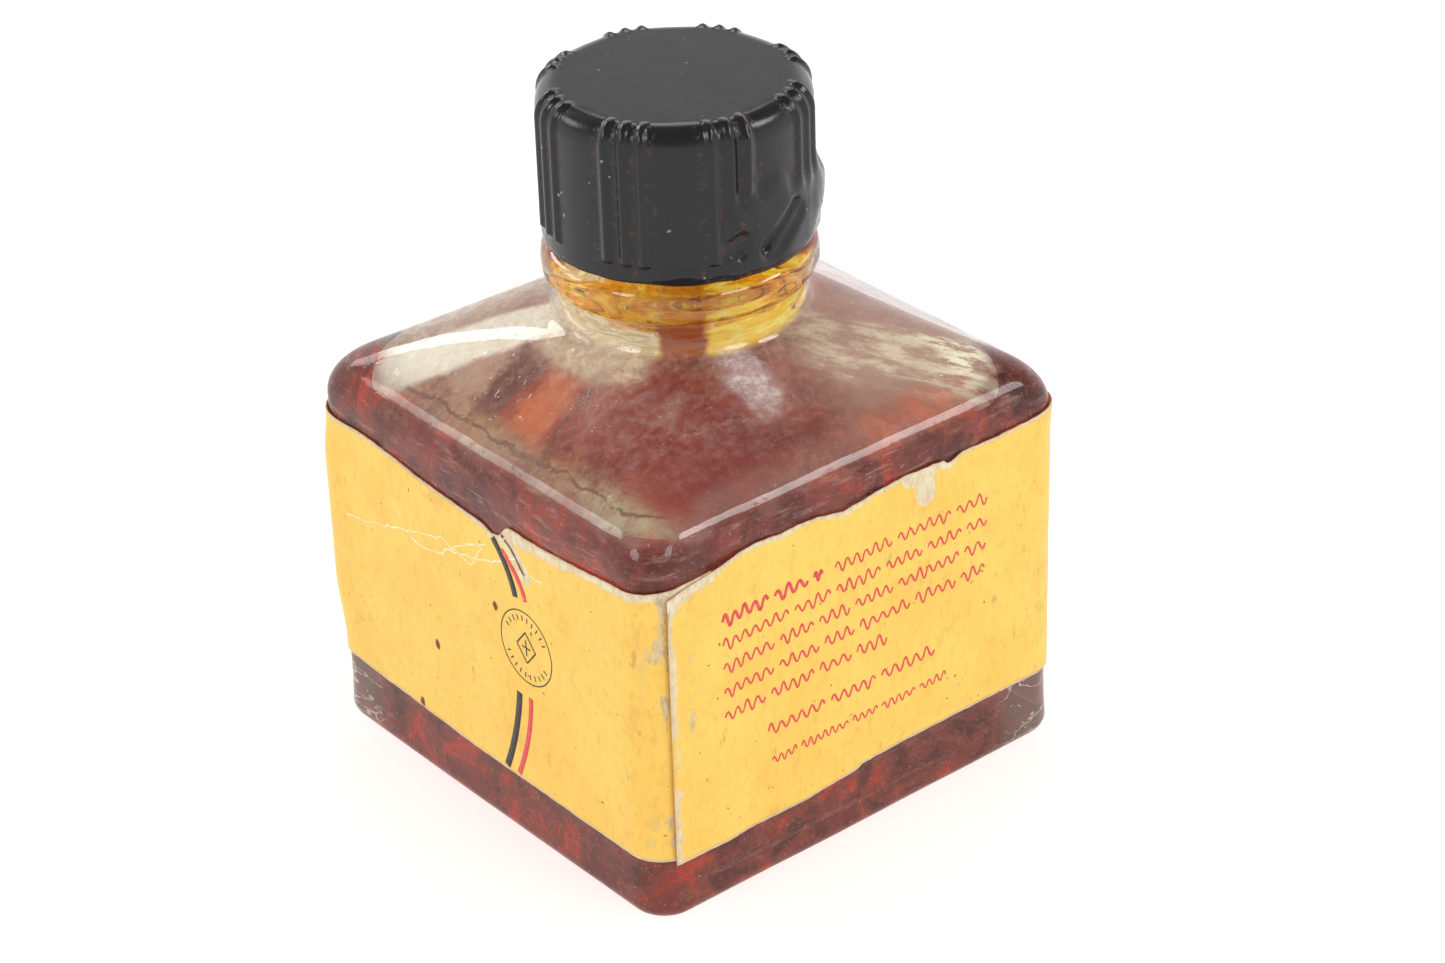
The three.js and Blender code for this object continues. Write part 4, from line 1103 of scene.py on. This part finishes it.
pulp = Finish("liner_pulp", {"Roughness": 0.9})
felted = pulp.grain(pulp.stretched(pulp.place(), (1.0, 1.0, 4.0)), 1.6, 6.0, 0.7)
pulp.show(Base_Color=pulp.mix(pulp.above(felted, 0.3, 0.7), (0.46, 0.34, 0.20), (0.64, 0.52, 0.36)),
          Normal=pulp.bump(felted, 0.08))
foil = Finish("liner_foil", {"Metallic": 1.0})
spot = foil.place()
crease = foil.grain(spot, 0.9, 5.0, 0.6)
stained = foil.patches(0.5, 0.65, spot, 0.3, 4.0)
foil.show(Base_Color=foil.mix(stained, (0.75, 0.75, 0.76), (0.42, 0.20, 0.10)),
          Roughness=0.28 + stained * 0.3, Normal=foil.bump(crease, 0.05))
dress("cap_liner", pulp)
dress("liner_facing", foil)

# ---------------------------------------------------------------- brush
# A steel wire stem pressed into the cap's socket, a thin crimped ferrule, and a tuft of dark
# bristle that the cement has stuck into a point.
steel = Finish("stem_steel", {"Metallic": 1.0})
spot = steel.place()
drawn = steel.grain(steel.stretched(spot, (1.0, 1.0, 0.08)), 4.0, 3.0)
coated = steel.above(steel.grain(spot, 0.5, 5.0) + steel.part(spot, "Z") * -0.012, 0.05, 0.16)
steel.show(Base_Color=steel.mix(coated, (0.52, 0.50, 0.47), (0.20, 0.040, 0.022)),
           Metallic=1 - coated * 0.9, Roughness=0.26 + drawn * 0.2,
           Normal=steel.bump(drawn * 0.3 + coated * 0.4, 0.05, 0.7))
dress("brush_stem", steel)

FERRULE_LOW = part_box("brush_ferrule")[0].z / MM
FERRULE_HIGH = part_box("brush_ferrule")[1].z / MM
FERRULE_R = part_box("brush_ferrule")[1].x / MM
FERRULE_WALL = 0.3
CRIMPS = ((1.9, 0.30, 0.35), (5.6, 0.16, 0.3), (6.6, 0.16, 0.3))
tube_z = steps(FERRULE_LOW, FERRULE_HIGH, 60)
pinched = sum(depth * np.exp(-((tube_z - FERRULE_LOW - at) / wide) ** 2) for at, depth, wide in CRIMPS)
tube = [circle(FERRULE_R - dip, z_up) for dip, z_up in zip(pinched, tube_z)]
bore = [circle(FERRULE_R - FERRULE_WALL - dip, z_up) for dip, z_up in zip(pinched, tube_z)][::-1]
brass = Finish("ferrule_metal", {"Metallic": 1.0})
spot = brass.place()
dulled = brass.grain(spot, 0.9, 5.0, 0.65)
crusted = brass.above(dulled, 0.5, 0.62)
brass.show(Base_Color=brass.mix(crusted, (0.66, 0.53, 0.30), (0.17, 0.04, 0.022)),
           Metallic=1 - crusted * 0.9, Roughness=0.3 + dulled * 0.25,
           Normal=brass.bump(dulled, 0.06, 0.7))
ferrule = piece("crimped_ferrule", *lofted(tube + bore, loop=True), brass)
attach(ferrule, "cap")
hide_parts("brush_ferrule")

TUFT_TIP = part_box("brush_bristles")[0].z / MM
TUFT_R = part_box("brush_bristles")[1].x / MM
HAIRS = 260
HAIR_SIDES = 5
hair_root = FERRULE_LOW + 2.6
groomer = random.Random(4)
hair_parts = []
for _ in range(HAIRS):
    lean = groomer.uniform(0, TURN)
    share = sqrt(groomer.random())
    tip = TUFT_TIP + 0.1 + 2.6 * share**2 + groomer.uniform(0, 0.5)
    thick = groomer.uniform(0.085, 0.12)
    sway = groomer.uniform(-0.12, 0.12)
    hair = []
    for t in steps(0, 1, 12):
        z_at = hair_root + (tip - hair_root) * t
        full = TUFT_R * 0.92 * sin(pi * min(1.0, 0.20 + 0.62 * t)) ** 0.9 * (1 - t**6 * 0.75)
        r = share * (1.45 if t < 0.15 else min(full, 1.45 + (t - 0.15) * 3.0))
        centre = np.array([r * cos(lean + sway * t), r * sin(lean + sway * t), z_at])
        width = thick * (1 - 0.75 * t**3)
        sides = steps(0, TURN, HAIR_SIDES)[:-1]
        hair.append(np.array([centre + (width * cos(a), width * sin(a), 0) for a in sides]))
    hair_parts.append(lofted(hair[::-1]))
hairs = Finish("brush_hair", {"Coat Roughness": 0.2})
spot = hairs.place()
streaks = hairs.grain(hairs.stretched(spot, (1.0, 1.0, 0.15)), 2.5, 3.0)
soaked = 1 - hairs.above(hairs.part(spot, "Z"), TUFT_TIP + 3.0, FERRULE_LOW)
hair_tone = hairs.layers(
    (0.045, 0.026, 0.016),
    (hairs.above(streaks, 0.3, 0.7), (0.13, 0.075, 0.042)),
    (soaked * 0.7, (0.15, 0.028, 0.018)))
hairs.show(Base_Color=hair_tone, Roughness=0.6 - soaked * 0.35, Coat_Weight=soaked * 0.8)
tuft = piece("bristle_tuft", *gathered(hair_parts), hairs)
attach(tuft, "cap")
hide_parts("brush_bristles")
